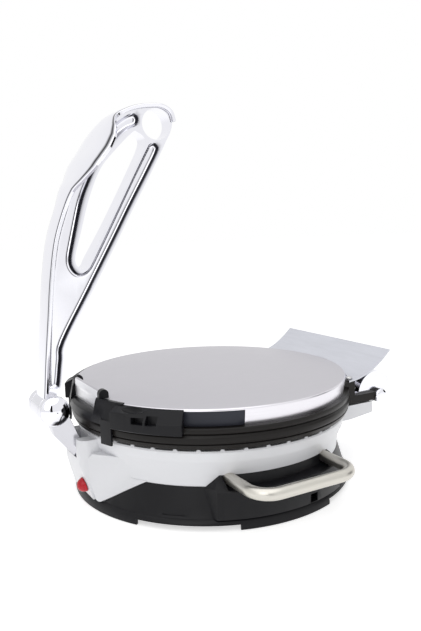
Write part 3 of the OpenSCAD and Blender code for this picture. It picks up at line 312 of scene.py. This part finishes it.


def lid_metal(name, colour):
    """The lid: satin top brushed one way, skirt brushed round with painted sheen, painted
    highlight on the pad's front.
    """
    s = Shader(name, Metallic=1.0)
    x, _, z = s.axes()
    top = z.ramp(*LID_EDGE)
    pad = (x * -1).ramp(*PAD_EDGE)
    along = s.noise(s.place((28.0, 1500.0, 1500.0)), scale=1.0, detail=5.0, roughness=0.7)
    around = s.noise(s.place((16.0, 16.0, 2400.0)), scale=1.0, detail=4.0, roughness=0.6)
    slow = s.noise(s.place(), scale=7.0)
    satin = s.tones(along, colour, 0.93, 1.05)
    # painted sheen: the skirt is the same steel lifted to 1.25 to 1.5 times its colour
    bright = s.tones(around, colour, 1.25, 1.5)
    # painted highlight: the pad's front face turns near white
    s.set("Base Color", s.blend(pad, s.blend(top, bright, satin), (0.93, 0.93, 0.95)))
    s.set("Roughness", 0.24 + top * 0.24 + slow * 0.05 + around * 0.05 + pad * 0.2)
    s.bump(along * top + around * (1 - top), strength=0.10, distance=0.00005)
    return s.material


def coated(name, colour):
    """Non-stick coating with a fine sparkle and baking marks."""
    s = Shader(name, Specular_IOR_Level=0.5)
    where = s.place()
    slow = s.noise(where, scale=18.0, detail=4.0)
    s.set("Base Color", s.tones(slow, colour, 0.7, 1.5))
    s.set("Roughness", 0.32 + slow * 0.12)
    s.bump(s.noise(where, scale=1800.0), strength=0.2, distance=0.00006)
    return s.material


def jewel(name, colour):
    """Red lamp lens: a coloured core under a soft polished skin."""
    s = Shader(name, Specular_IOR_Level=0.3, Coat_Weight=0.12, Coat_Roughness=0.15)
    core = s.noise(s.place(), scale=60.0, detail=1.0)
    s.set("Base Color", s.tones(core, colour, 0.8, 1.1))
    s.set("Roughness", 0.22 + core * 0.04)
    return s.material


# Mesh helpers

MERGE = 1e-6                      # points this close are one
NODE_MERGE = 2e-6                 # the same for the loose triangles of a CAD node
FLAT = 0.6                        # faces that turn by less, in degrees, are joined
NODE_EDGE = 30.0                  # edges of a CAD node that turn by more are rounded


def wrap_up(bm, name, material, body, nodes, smooth):
    """Turns a bmesh into a piece that rides on a body and stands for CAD nodes."""
    bmesh.ops.remove_doubles(bm, verts=bm.verts, dist=MERGE)
    piece = linked(bm, name, material)
    piece.data.shade_smooth()
    piece.data.set_sharp_from_angle(angle=math.radians(smooth))
    if nodes:
        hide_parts(*nodes)
    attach(piece, body)
    return piece


def linked(bm, name, material):
    """Turns a bmesh into an object of the scene with one material."""
    mesh = bpy.data.meshes.new(name)
    bm.to_mesh(mesh)
    bm.free()
    mesh.materials.append(material)
    piece = bpy.data.objects.new(name, mesh)
    bpy.context.scene.collection.objects.link(piece)
    return piece


def bevelled(piece, width, segments, angle, miter="MITER_SHARP"):
    """Rounds the edges that turn by more than an angle in degrees."""
    edge = piece.modifiers.new("Edges", "BEVEL")
    edge.width = width
    edge.segments = segments
    edge.limit_method = "ANGLE"
    edge.angle_limit = math.radians(angle)
    edge.harden_normals = True
    edge.miter_outer = miter


def rounded(node, width, material, body, segments=2, smooth=40.0):
    """A copy of a CAD node with merged faces and rounded edges."""
    bm = bmesh.new()
    bm.from_mesh(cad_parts[node].data)
    bmesh.ops.remove_doubles(bm, verts=bm.verts, dist=NODE_MERGE)
    bmesh.ops.dissolve_degenerate(bm, edges=bm.edges, dist=MERGE)
    bmesh.ops.dissolve_limit(bm, angle_limit=math.radians(FLAT), verts=bm.verts, edges=bm.edges,
                             use_dissolve_boundaries=False, delimit=set())
    piece = wrap_up(bm, node + "_dressed", material, body, [node], smooth)
    if width > 0:
        bevelled(piece, width, segments, NODE_EDGE, "MITER_ARC")


def finish_node(node, material):
    """Gives a CAD node that stays as it is a material."""
    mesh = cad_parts[node].data
    mesh.materials.clear()
    mesh.materials.append(material)


def through(points, steps, closed=False):
    """Smooth curve through control points."""
    n = len(points)

    def control(i):
        return Vector(points[i % n] if closed else points[min(max(i, 0), n - 1)])

    out = []
    for i in range(n if closed else n - 1):
        a, b, c, d = (control(i + k) for k in (-1, 0, 1, 2))
        for j in range(steps):
            t = j / steps
            out.append(0.5 * (2 * b + (c - a) * t + (2 * a - 5 * b + 4 * c - d) * t * t
                              + (3 * b - a - 3 * c + d) * t * t * t))
    if not closed:
        out.append(Vector(points[-1]))
    return out


def beside(points, t):
    """The curve moved sideways by t millimetres."""
    out = []
    for i, p in enumerate(points):
        d = points[min(i + 1, len(points) - 1)] - points[max(i - 1, 0)]
        out.append(p + Vector((d[1], -d[0])).normalized() * t)
    return out


def shifted(points, t):
    """A closed curve moved to its inner side by t millimetres."""
    n = len(points)
    turn = sum(points[i - 1][0] * points[i][1] - points[i][0] * points[i - 1][1]
               for i in range(n))
    side = -t if turn > 0 else t
    out = []
    for i, p in enumerate(points):
        d = Vector(points[(i + 1) % n]) - Vector(points[i - 1])
        out.append(Vector(p) + Vector((d[1], -d[0])).normalized() * side)
    return out


def loop_edges(bm, points, y):
    """A closed loop of edges in a plane across Y, from points in millimetres round the pivot."""
    verts = [bm.verts.new((PIVOT.x + p[0] * MM, y, PIVOT.z + p[1] * MM)) for p in points]
    return [bm.edges.new((verts[i], verts[(i + 1) % len(verts)])) for i in range(len(verts))]


def walled(bm, points, levels, painted_reflections=()):
    """Bridges copies of a closed loop. Each level is an inward shift in millimetres and a
    place along Y, and each value with it is that level's painted dark reflection in the cove
    attribute."""
    rings = [loop_edges(bm, shifted(points, t) if t else points, y) for t, y in levels]
    for first, second in zip(rings, rings[1:]):
        bmesh.ops.bridge_loops(bm, edges=first + second)
    for ring, painted_reflection in zip(rings, painted_reflections):
        for vert in {v for e in ring for v in e.verts}:
            vert[bm.verts.layers.float["cove"]] = painted_reflection
    return rings


def filled(bm, rings):
    """Fills the area between flat closed loops."""
    bmesh.ops.triangle_fill(bm, use_beauty=True, use_dissolve=False,
                            edges=[e for ring in rings for e in ring])


# Press lever: points in millimetres from the pivot, X towards the rear and Z up

OUTER = [(-9, 3), (-7.6, 13.5), (-4.6, 46), (-0.6, 82), (3.4, 117.5), (9.4, 151.5),
         (19.4, 180.5), (25.4, 196), (32.4, 206.5), (40.4, 220.5), (49.4, 232.5), (57.4, 245),
         (64.4, 255), (73, 263), (92, 271.3), (111.4, 274.3), (122.4, 273.5), (131.4, 268),
         (134.6, 258.5)]
INNER = [(9.5, 14), (11.4, 20), (14.4, 43), (18, 59), (44, 103), (71.4, 149.5), (86.4, 175.5),
         (104.4, 205.5), (119.4, 231.5), (124, 240), (128.4, 247.5), (131, 256), (130, 263)]
SLOT = [(94.4, 247.3), (89.4, 246.3), (73.4, 231.5), (57.4, 213.5), (45.4, 187.5),
        (36.4, 158.5), (29.4, 133.5), (34.4, 124.5), (40.4, 127.3), (43.4, 133.3),
        (63.4, 165.5), (89.4, 211.5), (102.4, 238.5)]
POCKET_TIP = [(77, 256.6), (86.5, 262.4), (93, 263.6), (96.6, 260.6), (96.4, 255.6),
              (93.4, 252.2), (88, 250.2), (81.6, 246.4), (74.4, 240.2), (67, 232.2),
              (59.6, 222.6), (52.2, 211.3), (46.4, 200.2), (41, 188.6), (36.8, 175.8),
              (33, 161.6), (29.6, 148.6), (26.4, 135), (27.2, 127), (31.2, 121.8), (36.2, 121),
              (41.4, 124), (46.4, 131.2), (65.2, 164.2), (91, 210.2), (103.6, 232.2),
              (106.8, 236.6), (111.2, 238), (115, 236.4), (116.4, 232), (110.6, 220.6)]
POCKET_RIM = [(102, 206.2), (84, 176.2), (69, 150.2), (41.6, 103.8), (15.6, 59.8),
              (12.2, 43.6), (9.4, 24), (8, 18.8)]
POCKET_HEEL = [(3.4, 16.6), (-1.6, 17.2)]
HOLE, HOLE_RADIUS, HOLE_SIDES = (114.4, 255.3), 14.5, 48

SKIN_INSET, SKIN_FROM = 1.4, 8              # the web's front edge, inside the spine
SEAM_INSET, SEAM_FROM, SEAM_TO = 4.4, 19, 250    # the panel's edge along the spine
# The panel's wall: inward shift, share of the panel's depth, painted dark reflection
COVE = ((0, 0, 0.5), (0.8, 0.40, 1.0), (2.0, 0.72, 1.0), (2.9, 0.88, 0.05), (3.9, 0.97, 0.75),
        (5.2, 1, 0.0))
COVE_FACING = Vector((-1.2, -0.35))         # walls that face this way, in X and Z, get the painted dark reflection

SPINE_FROM, SPINE_COLUMNS = 4, 16
TIP_FROM, TIP_INSET = 76, 2.4               # past this X the sheet is narrower by the inset
SPREAD = 0.25                               # how far the columns crowd towards the edges
ROLL, PALM_ROLL = 1.2, 3.4                  # how far the edges turn in, and more at the palm
EDGE_LINE, EDGE_PAINTED_REFLECTION = (0.8, 0.95), 0.9     # painted dark reflection in a line beside the sheet's edges
# Half width by height: share of the way from spine to palm rest, and an extra
WIDTHS = ((0, 0, 0), (176, 0, 0), (186, 0, 1.5), (196, 0.20, 0), (206, 0.52, 0),
          (214, 0.84, 0), (223, 1, -0.6), (233, 1, 0), (243, 1, -2.5), (251, 0.62, 0),
          (258, 0.22, 0), (263, 0, -1), (268, 0, -TIP_INSET), (280, 0, -TIP_INSET))
EASED = 2                                   # changes of width under this are eased

BARREL_INNER, BARREL_OUTER, BARREL_HALF = 10.6, 13.5, 12.4
BOSS_INNER, BOSS_HALF = 4.0, 20.5
BARREL_FROM, BARREL_TO = 74.0, 218.0        # the closed part of the barrel, in degrees
SPIN_STEP = 5                               # degrees to a face


def palm_half(z, spine, palm):
    """Half width of the spine at a height above the pivot, in millimetres."""
    table = [(height, spine + (palm - spine) * share + extra) for height, share, extra in WIDTHS]
    for (z0, a), (z1, b) in zip(table, table[1:]):
        if z <= z1:
            t = (z - z0) / (z1 - z0)
            if abs(b - a) < EASED:
                t = t * t * (3 - 2 * t)
            return a + (b - a) * t
    return table[-1][1]


class ROTI_OT_press_lever(bpy.types.Operator):
    """Casts the press lever: spine with palm rest, panelled web, hub barrel and hanging hole"""
    bl_idname = "roti.press_lever"
    bl_label = "Press lever"

    def execute(self, context):
        sizes = context.scene.roti_lever
        chrome = context.scene.roti_finish.chrome
        painted_reflection_plating = web_plating("web_plating", chrome)
        outer = through(OUTER, 5)
        self.web(sizes, outer, painted_reflection_plating)
        self.spine(sizes, outer, painted_reflection_plating)
        # the hub's chrome is darkened to 0.86 of the plating's colour as painted shade
        self.hub(sizes, plated("hub_plating_painted_shade", shade(chrome, 0.86), 0.14))
        return {"FINISHED"}

    def web(self, sizes, outer, material):
        """A plate with the long slot, the hanging hole and a sunk panel in each face"""
        half = sizes.web / 2
        slot = through(SLOT, 5, closed=True)
        turns = [math.tau * i / HOLE_SIDES for i in range(HOLE_SIDES)]
        hole = [(HOLE[0] + HOLE_RADIUS * math.cos(turn), HOLE[1] + HOLE_RADIUS * math.sin(turn))
                for turn in turns]
        skin = [p for p in beside(outer, SKIN_INSET) if p[1] > SKIN_FROM]
        skin += through(INNER, 4)[::-1]
        seam = [p for p in beside(outer, SEAM_INSET) if SEAM_FROM < p[1] < SEAM_TO]
        pocket = seam[::2] + through(POCKET_TIP, 3)[:-1] + through(POCKET_RIM, 4) + POCKET_HEEL
        bm = bmesh.new()
        painted_reflection = bm.verts.layers.float.new("cove")
        edges = [walled(bm, loop, ((0, -half), (0, half))) for loop in (skin, slot, hole)]
        for side, face, depth in ((-half, 0, sizes.groove), (half, -1, -sizes.groove)):
            levels = [(inset, side + depth * share) for inset, share, _ in COVE]
            cove = walled(bm, pocket, levels, [dark for _, _, dark in COVE])
            filled(bm, [ring[face] for ring in edges] + [cove[0]])
            filled(bm, [cove[-1]])
        bmesh.ops.recalc_face_normals(bm, faces=bm.faces)
        bm.normal_update()
        # painted reflection: only cove walls that face along COVE_FACING keep their darkness
        for vert in bm.verts:
            facing = Vector((vert.normal.x, vert.normal.z))
            facing = facing.normalized() if facing.length > 0.05 else Vector((1.0, 0.0))
            vert[painted_reflection] *= min(1.0, max(0.0, facing.dot(COVE_FACING)))
        piece = wrap_up(bm, "lever_web", material, "lever", ["press_lever"], 42.0)
        bevelled(piece, sizes.web_edge, 3, 48)

    def spine(self, sizes, outer, material):
        """A sheet along the outer curve, crowned across and turned in at its edges"""
        spine, palm = sizes.spine / 2 / MM, sizes.palm / MM
        rows = [p for p in outer if p[1] > SPINE_FROM]
        bm = bmesh.new()
        painted_reflection = bm.verts.layers.float.new("cove")
        grid = bmesh.ops.create_grid(bm, x_segments=SPINE_COLUMNS, y_segments=len(rows) - 1,
                                     size=1.0)
        verts = sorted(grid["verts"], key=lambda v: (round(v.co.y, 5), v.co.x))
        for k, v in enumerate(verts):
            i = k // (SPINE_COLUMNS + 1)
            p = rows[i]
            d = rows[min(i + 1, len(rows) - 1)] - rows[max(i - 1, 0)]
            back = Vector((d[1], -d[0])).normalized()
            t = v.co.x                      # -1 to 1 across the sheet
            width = palm_half(p[1], spine, palm) if p[0] < TIP_FROM else spine - TIP_INSET
            u = math.sin(t * math.pi / 2) * SPREAD + t * (1 - SPREAD)
            wide = (width - spine) / max(1.0, palm - spine)
            roll = (ROLL + PALM_ROLL * wide) * abs(t) ** 3
            # painted reflection: a dark line near each edge of the sheet
            v[painted_reflection] = EDGE_PAINTED_REFLECTION if EDGE_LINE[0] < abs(t) < EDGE_LINE[1] else 0.0
            v.co = Vector((PIVOT.x + (p[0] + back[0] * roll) * MM, u * width * MM,
                           PIVOT.z + (p[1] + back[1] * roll) * MM))
        bmesh.ops.recalc_face_normals(bm, faces=bm.faces)
        if sum(f.normal.x * f.calc_area() for f in bm.faces) > 0:
            bmesh.ops.reverse_faces(bm, faces=bm.faces)
        piece = wrap_up(bm, "lever_spine", material, "lever", [], 60.0)
        wall = piece.modifiers.new("Wall", "SOLIDIFY")
        wall.thickness, wall.offset = sizes.wall, -1
        bevelled(piece, sizes.spine_edge, 3, 50)

    def hub(self, sizes, material):
        """A barrel, open at the back and below for the fixed arm, with a boss at each end"""
        bm = bmesh.new()
        self.barrel(bm, BARREL_INNER, (-BARREL_HALF, BARREL_HALF), BARREL_FROM, BARREL_TO)
        for side in (-1, 1):
            self.barrel(bm, BOSS_INNER, (BARREL_HALF * side, BOSS_HALF * side), 0.0, 360.0)
        piece = wrap_up(bm, "lever_hub", material, "lever", [], 40.0)
        bevelled(piece, sizes.hub_edge, 2, 40)

    def barrel(self, bm, inner, ends, start, stop):
        """Spins a rectangle round the pivot, from one angle to another in degrees"""
        turn = math.radians(start)
        low, high = ends
        verts = [bm.verts.new((PIVOT.x + r * MM * math.cos(turn), y * MM,
                               PIVOT.z + r * MM * math.sin(turn)))
                 for r, y in ((inner, low), (BARREL_OUTER, low), (BARREL_OUTER, high),
                              (inner, high))]
        face = bm.faces.new(verts)
        whole = stop - start >= 360.0
        bmesh.ops.spin(bm, geom=list(face.edges) if whole else [face], cent=PIVOT,
                       axis=(0, -1, 0), dvec=(0, 0, 0), angle=math.radians(stop - start),
                       steps=int((stop - start) / SPIN_STEP), use_merge=whole)
        if whole:
            bmesh.ops.delete(bm, geom=[face], context="FACES_ONLY")
        bmesh.ops.recalc_face_normals(bm, faces=bm.faces)


# The other pieces

class ROTI_OT_fixed_arm(bpy.types.Operator):
    """Plates the fixed arm, the hub's caps and pin and the hinge pin"""
    bl_idname = "roti.fixed_arm"
    bl_label = "Fixed arm and hub"

    def execute(self, context):
        chrome = context.scene.roti_finish.chrome
        edges = context.scene.roti_edges
        # the fixed arm and the lever pin get chrome darkened to 0.72 as painted shade
        metal = plated("arm_plating_painted_shade", shade(chrome, 0.72), 0.16)
        mirror = cap_plating("cap_plating", chrome)
        rounded("press_arm", edges.casting, metal, "base")
        rounded("hub_caps", 0.0, mirror, "lever", smooth=60)
        pin = plated("pin_plating", chrome, 0.05)
        rounded("hinge_pin", edges.ring, pin, "base", smooth=50)
        finish_node("lever_pin", metal)
        return {"FINISHED"}


class ROTI_OT_base(bpy.types.Operator):
    """Moulds the black base, its bottom cover, feet and gland, and polishes the handle"""
    bl_idname = "roti.base"
    bl_label = "Base and handle"

    def execute(self, context):
        finish = context.scene.roti_finish
        edges = context.scene.roti_edges
        black = moulded("base_plastic", finish.black, 0.36, 0.16)
        rounded("base_shell", edges.plastic, black, "base")
        finish_node("base_floor", moulded("floor_plastic", shade(finish.black, 1.3), 0.5, 0.3))
        finish_node("rubber_feet", moulded("foot_rubber", (0.02, 0.02, 0.02), 0.8, 0.4))
        finish_node("cord_gland", moulded("gland_plastic", (0.014, 0.014, 0.015), 0.45, 0.2))
        tube = brushed("tube_steel", finish.tube, (60.0, 1800.0, 1800.0), 0.32, 0.10)
        rounded("side_handle", edges.sheet, tube, "base", smooth=60)
        return {"FINISHED"}


class ROTI_OT_bowl(bpy.types.Operator):
    """Moulds the white bowl with its front block, and sets the lamp"""
    bl_idname = "roti.bowl"
    bl_label = "Bowl and lamp"

    def execute(self, context):
        finish = context.scene.roti_finish
        edges = context.scene.roti_edges
        white = white_gloss("bowl_plastic", finish.white)
        rounded("body_bowl", edges.white, white, "base", segments=3, smooth=38)
        red = jewel("lamp_red", finish.lens)
        rounded("lamp_lens", edges.sheet, red, "base", smooth=25)
        finish_node("lamp_holder", moulded("holder_plastic", (0.06, 0.06, 0.07), 0.5, 0.2))
        return {"FINISHED"}


class ROTI_OT_rings(bpy.types.Operator):
    """Finishes the black rings and the coated hot plates"""
    bl_idname = "roti.rings"
    bl_label = "Rings and plates"

    def execute(self, context):
        edges = context.scene.roti_edges
        ring = context.scene.roti_finish.ring
        black = moulded("ring_plastic", ring, 0.34, 0.22, 1500.0)
        for node, body in (("lower_ring", "base"), ("lid_ring", "lid")):
            rounded(node, edges.ring, black, body)
        plate = coated("plate_coating", (0.05, 0.048, 0.046))
        for node, body in (("lower_plate", "base"), ("upper_plate", "lid")):
            rounded(node, edges.ring, plate, body)
        return {"FINISHED"}


class ROTI_OT_lid(bpy.types.Operator):
    """Brushes the lid cover and moulds its dark panels, fork and wings"""
    bl_idname = "roti.lid"
    bl_label = "Lid"

    def execute(self, context):
        finish = context.scene.roti_finish
        edges = context.scene.roti_edges
        steel = lid_metal("cover_steel", finish.cover)
        rounded("lid_cover", 0.0, steel, "lid", smooth=30)
        panel = moulded("panel_plastic", (0.028, 0.030, 0.040), 0.34, 0.12)
        rounded("skirt_panels", edges.ring, panel, "lid")
        black = moulded("fork_plastic", shade(finish.black, 1.15), 0.36, 0.14)
        for node in ("front_fork", "grip_wing_near", "grip_wing_far"):
            rounded(node, edges.plastic, black, "lid")
        return {"FINISHED"}


class ROTI_OT_rear(bpy.types.Operator):
    """Finishes the hinge arms, the curved cover and the rear guard"""
    bl_idname = "roti.rear"
    bl_label = "Rear hinge and guard"

    def execute(self, context):
        finish = context.scene.roti_finish
        edges = context.scene.roti_edges
        black = moulded("arm_plastic", shade(finish.ring, 1.2), 0.4, 0.2)
        for node in ("hinge_arm_near", "hinge_arm_far"):
            rounded(node, edges.hinge, black, "lid")
        chrome = plated("cover_sheet", finish.chrome, 0.10)
        rounded("hinge_cover", edges.sheet, chrome, "lid")
        sheet = brushed("guard_sheet", (0.62, 0.63, 0.68), (220.0, 24.0, 220.0), 0.40, 0.01)
        rounded("rear_guard", edges.sheet, sheet, "lid")
        return {"FINISHED"}


class ROTI_OT_inner_parts(bpy.types.Operator):
    """Finishes the parts inside: elements, reflectors, posts, screws, thermostat, terminals"""
    bl_idname = "roti.inner_parts"
    bl_label = "Inner parts"

    def execute(self, context):
        zinc = brushed("zinc_plate", (0.60, 0.60, 0.60), (1200.0, 1200.0, 60.0), 0.3, 0.08)
        tinted = brushed("element_sheath", (0.30, 0.26, 0.23), (400.0, 400.0, 400.0), 0.45, 0.1)
        bright = brushed("reflector_sheet", (0.75, 0.75, 0.77), (30.0, 1600.0, 1600.0), 0.25, 0.05)
        fired = moulded("fired_clay", (0.62, 0.58, 0.50), 0.7, 0.3, 900.0)
        can = brushed("fuse_can", (0.62, 0.52, 0.32), (300.0, 1500.0, 1500.0), 0.35, 0.05)
        for material, nodes in (
                (zinc, ("floor_screws", "handle_screws", "arm_bolts", "lower_clamps",
                        "upper_clamps", "reflector_posts", "lid_posts", "arm_screws",
                        "guard_studs")),
                (tinted, ("lower_element", "upper_element")),
                (bright, ("lower_reflector", "upper_reflector")),
                (fired, ("thermostat", "terminal_block")),
                (can, ("thermal_fuse",))):
            for node in nodes:
                finish_node(node, material)
        return {"FINISHED"}


# Stage

FLOOR_HALF, FLOOR_GLOW = 6.0, 0.58          # the glow makes the floor white to the camera
WORLD_LEVEL = 0.50                          # the world's strength on the object
CARD_AIM = Vector((0, 0, 0.15))
CAMERA_PLACE = (-0.33315, -0.58752, 0.26524)
CAMERA_TURN = (29.735, 8.364, -1.40)        # heading, pitch and roll in degrees
SENSOR_WIDTH, CLIP_START = 36.0, 0.05       # millimetres, metres


class ROTI_OT_stage(bpy.types.Operator):
    """Sets the pale floor, the soft lamps and the camera"""
    bl_idname = "roti.stage"
    bl_label = "Stage"

    def execute(self, context):
        sizes = context.scene.roti_stage
        self.floor()
        self.world(context.scene)
        # Dark cards that only the bright surfaces reflect
        self.card("middle_card", (-0.75, -1.75, 0.30), (0.42, 1.9))
        self.card("right_card", (1.5, -0.65, 0.15), (0.7, 1.1))
        self.lamp("top_lamp", (-0.25, -0.35, 1.5), (0, 0, 0.08), 2.2, sizes.key)
        self.lamp("side_lamp", (-1.2, -1.1, 0.9), (0, 0, 0.15), 1.2, sizes.fill)
        self.camera(context.scene, sizes.lens)
        context.scene.view_settings.view_transform = "Standard"
        return {"FINISHED"}

    def floor(self):
        """A pale floor that is white to the camera except for the soft shadow"""
        bm = bmesh.new()
        bmesh.ops.create_grid(bm, x_segments=1, y_segments=1, size=FLOOR_HALF)
        paint = Shader("floor_paint", Base_Color=(0.86, 0.86, 0.86), Roughness=0.9,
                       Specular_IOR_Level=0.0, Emission_Color=(1.0, 1.0, 1.0),
                       Emission_Strength=FLOOR_GLOW)
        floor = linked(bm, "floor", paint.material)

    def world(self, scene):
        """A white world to the camera, in reflections and through glass, dimmer as light"""
        world = bpy.data.worlds.new("studio")
        scene.world = world
        world.use_nodes = True
        tree = world.node_tree
        back = next(n for n in tree.nodes if n.type == "BACKGROUND")
        rays = tree.nodes.new("ShaderNodeLightPath").outputs
        seen = rays["Is Camera Ray"]
        for ray in ("Is Glossy Ray", "Is Transmission Ray"):
            either = tree.nodes.new("ShaderNodeMath")
            either.operation = "MAXIMUM"
            tree.links.new(seen, either.inputs[0])
            tree.links.new(rays[ray], either.inputs[1])
            seen = either.outputs[0]
        level = tree.nodes.new("ShaderNodeMapRange")
        level.inputs["To Min"].default_value = WORLD_LEVEL
        level.inputs["To Max"].default_value = 1.0
        tree.links.new(seen, level.inputs["Value"])
        tree.links.new(level.outputs[0], back.inputs["Strength"])
        back.inputs["Color"].default_value = (1, 1, 1, 1)

    def camera(self, scene, focal):
        """The camera that was fitted to the reference view"""
        lens = bpy.data.cameras.new("view")
        lens.lens, lens.sensor_width, lens.clip_start = focal, SENSOR_WIDTH, CLIP_START
        camera = bpy.data.objects.new("view", lens)
        scene.collection.objects.link(camera)
        heading, pitch, roll = (math.radians(v) for v in CAMERA_TURN)
        ahead = Vector((math.sin(heading) * math.cos(pitch), math.cos(heading) * math.cos(pitch),
                        -math.sin(pitch)))
        right = Vector((math.cos(heading), -math.sin(heading), 0))
        up = right.cross(ahead)
        side = right * math.cos(roll) + up * math.sin(roll)
        top = up * math.cos(roll) - right * math.sin(roll)
        turn = Matrix((side, top, -ahead)).transposed().to_4x4()
        camera.matrix_world = Matrix.Translation(CAMERA_PLACE) @ turn
        scene.camera = camera

    def card(self, name, place, size):
        """A dark sheet that faces the object and shows only in reflections"""
        bm = bmesh.new()
        bmesh.ops.create_grid(bm, x_segments=1, y_segments=1, size=0.5)
        bmesh.ops.scale(bm, vec=(*size, 1), verts=bm.verts)
        turn = (CARD_AIM - Vector(place)).to_track_quat("Z", "Y").to_matrix().to_4x4()
        bmesh.ops.transform(bm, matrix=Matrix.Translation(place) @ turn, verts=bm.verts)
        paint = Shader(name + "_paint", Base_Color=(0.004, 0.004, 0.004), Roughness=1.0,
                       Specular_IOR_Level=0.0)
        card = linked(bm, name, paint.material)
        card.visible_camera = card.visible_diffuse = card.visible_shadow = False

    def lamp(self, name, place, target, size, power):
        """A round soft lamp at a place, aimed at a target"""
        light = bpy.data.lights.new(name, "AREA")
        light.shape, light.size, light.energy = "DISK", size, power
        lamp = bpy.data.objects.new(name, light)
        bpy.context.scene.collection.objects.link(lamp)
        lamp.location = place
        aim = Vector(target) - Vector(place)
        lamp.rotation_euler = aim.to_track_quat("-Z", "Y").to_euler()


class ROTI_PT_panel(bpy.types.Panel):
    """Lists the roti maker's sizes, finishes and pieces"""
    bl_idname = "ROTI_PT_panel"
    bl_label = "Roti maker"
    bl_space_type = "VIEW_3D"
    bl_region_type = "UI"
    bl_category = "Roti"

    def draw(self, context):
        for group in GROUPS:
            box = self.layout.box()
            sizes = getattr(context.scene, group)
            for key in sizes.bl_rna.properties.keys():
                if key not in ("rna_type", "name"):
                    box.prop(sizes, key)
        for operator in OPERATORS:
            self.layout.operator(operator.bl_idname)


GROUPS = {"roti_lever": LeverSizes, "roti_edges": EdgeSizes, "roti_finish": Finishes,
          "roti_stage": StageSizes}
OPERATORS = (ROTI_OT_stage, ROTI_OT_press_lever, ROTI_OT_fixed_arm, ROTI_OT_base, ROTI_OT_bowl,
             ROTI_OT_rings, ROTI_OT_lid, ROTI_OT_rear, ROTI_OT_inner_parts)


def register():
    for name, group in GROUPS.items():
        bpy.utils.register_class(group)
        setattr(bpy.types.Scene, name, bpy.props.PointerProperty(type=group))
    for operator in OPERATORS:
        bpy.utils.register_class(operator)
    bpy.utils.register_class(ROTI_PT_panel)


def unregister():
    bpy.utils.unregister_class(ROTI_PT_panel)
    for operator in reversed(OPERATORS):
        bpy.utils.unregister_class(operator)
    for name, group in GROUPS.items():
        delattr(bpy.types.Scene, name)
        bpy.utils.unregister_class(group)


def main():
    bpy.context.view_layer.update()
    register()
    for operator in OPERATORS:
        area, name = operator.bl_idname.split(".")
        getattr(getattr(bpy.ops, area), name)()


if __name__ == "__main__":
    main()
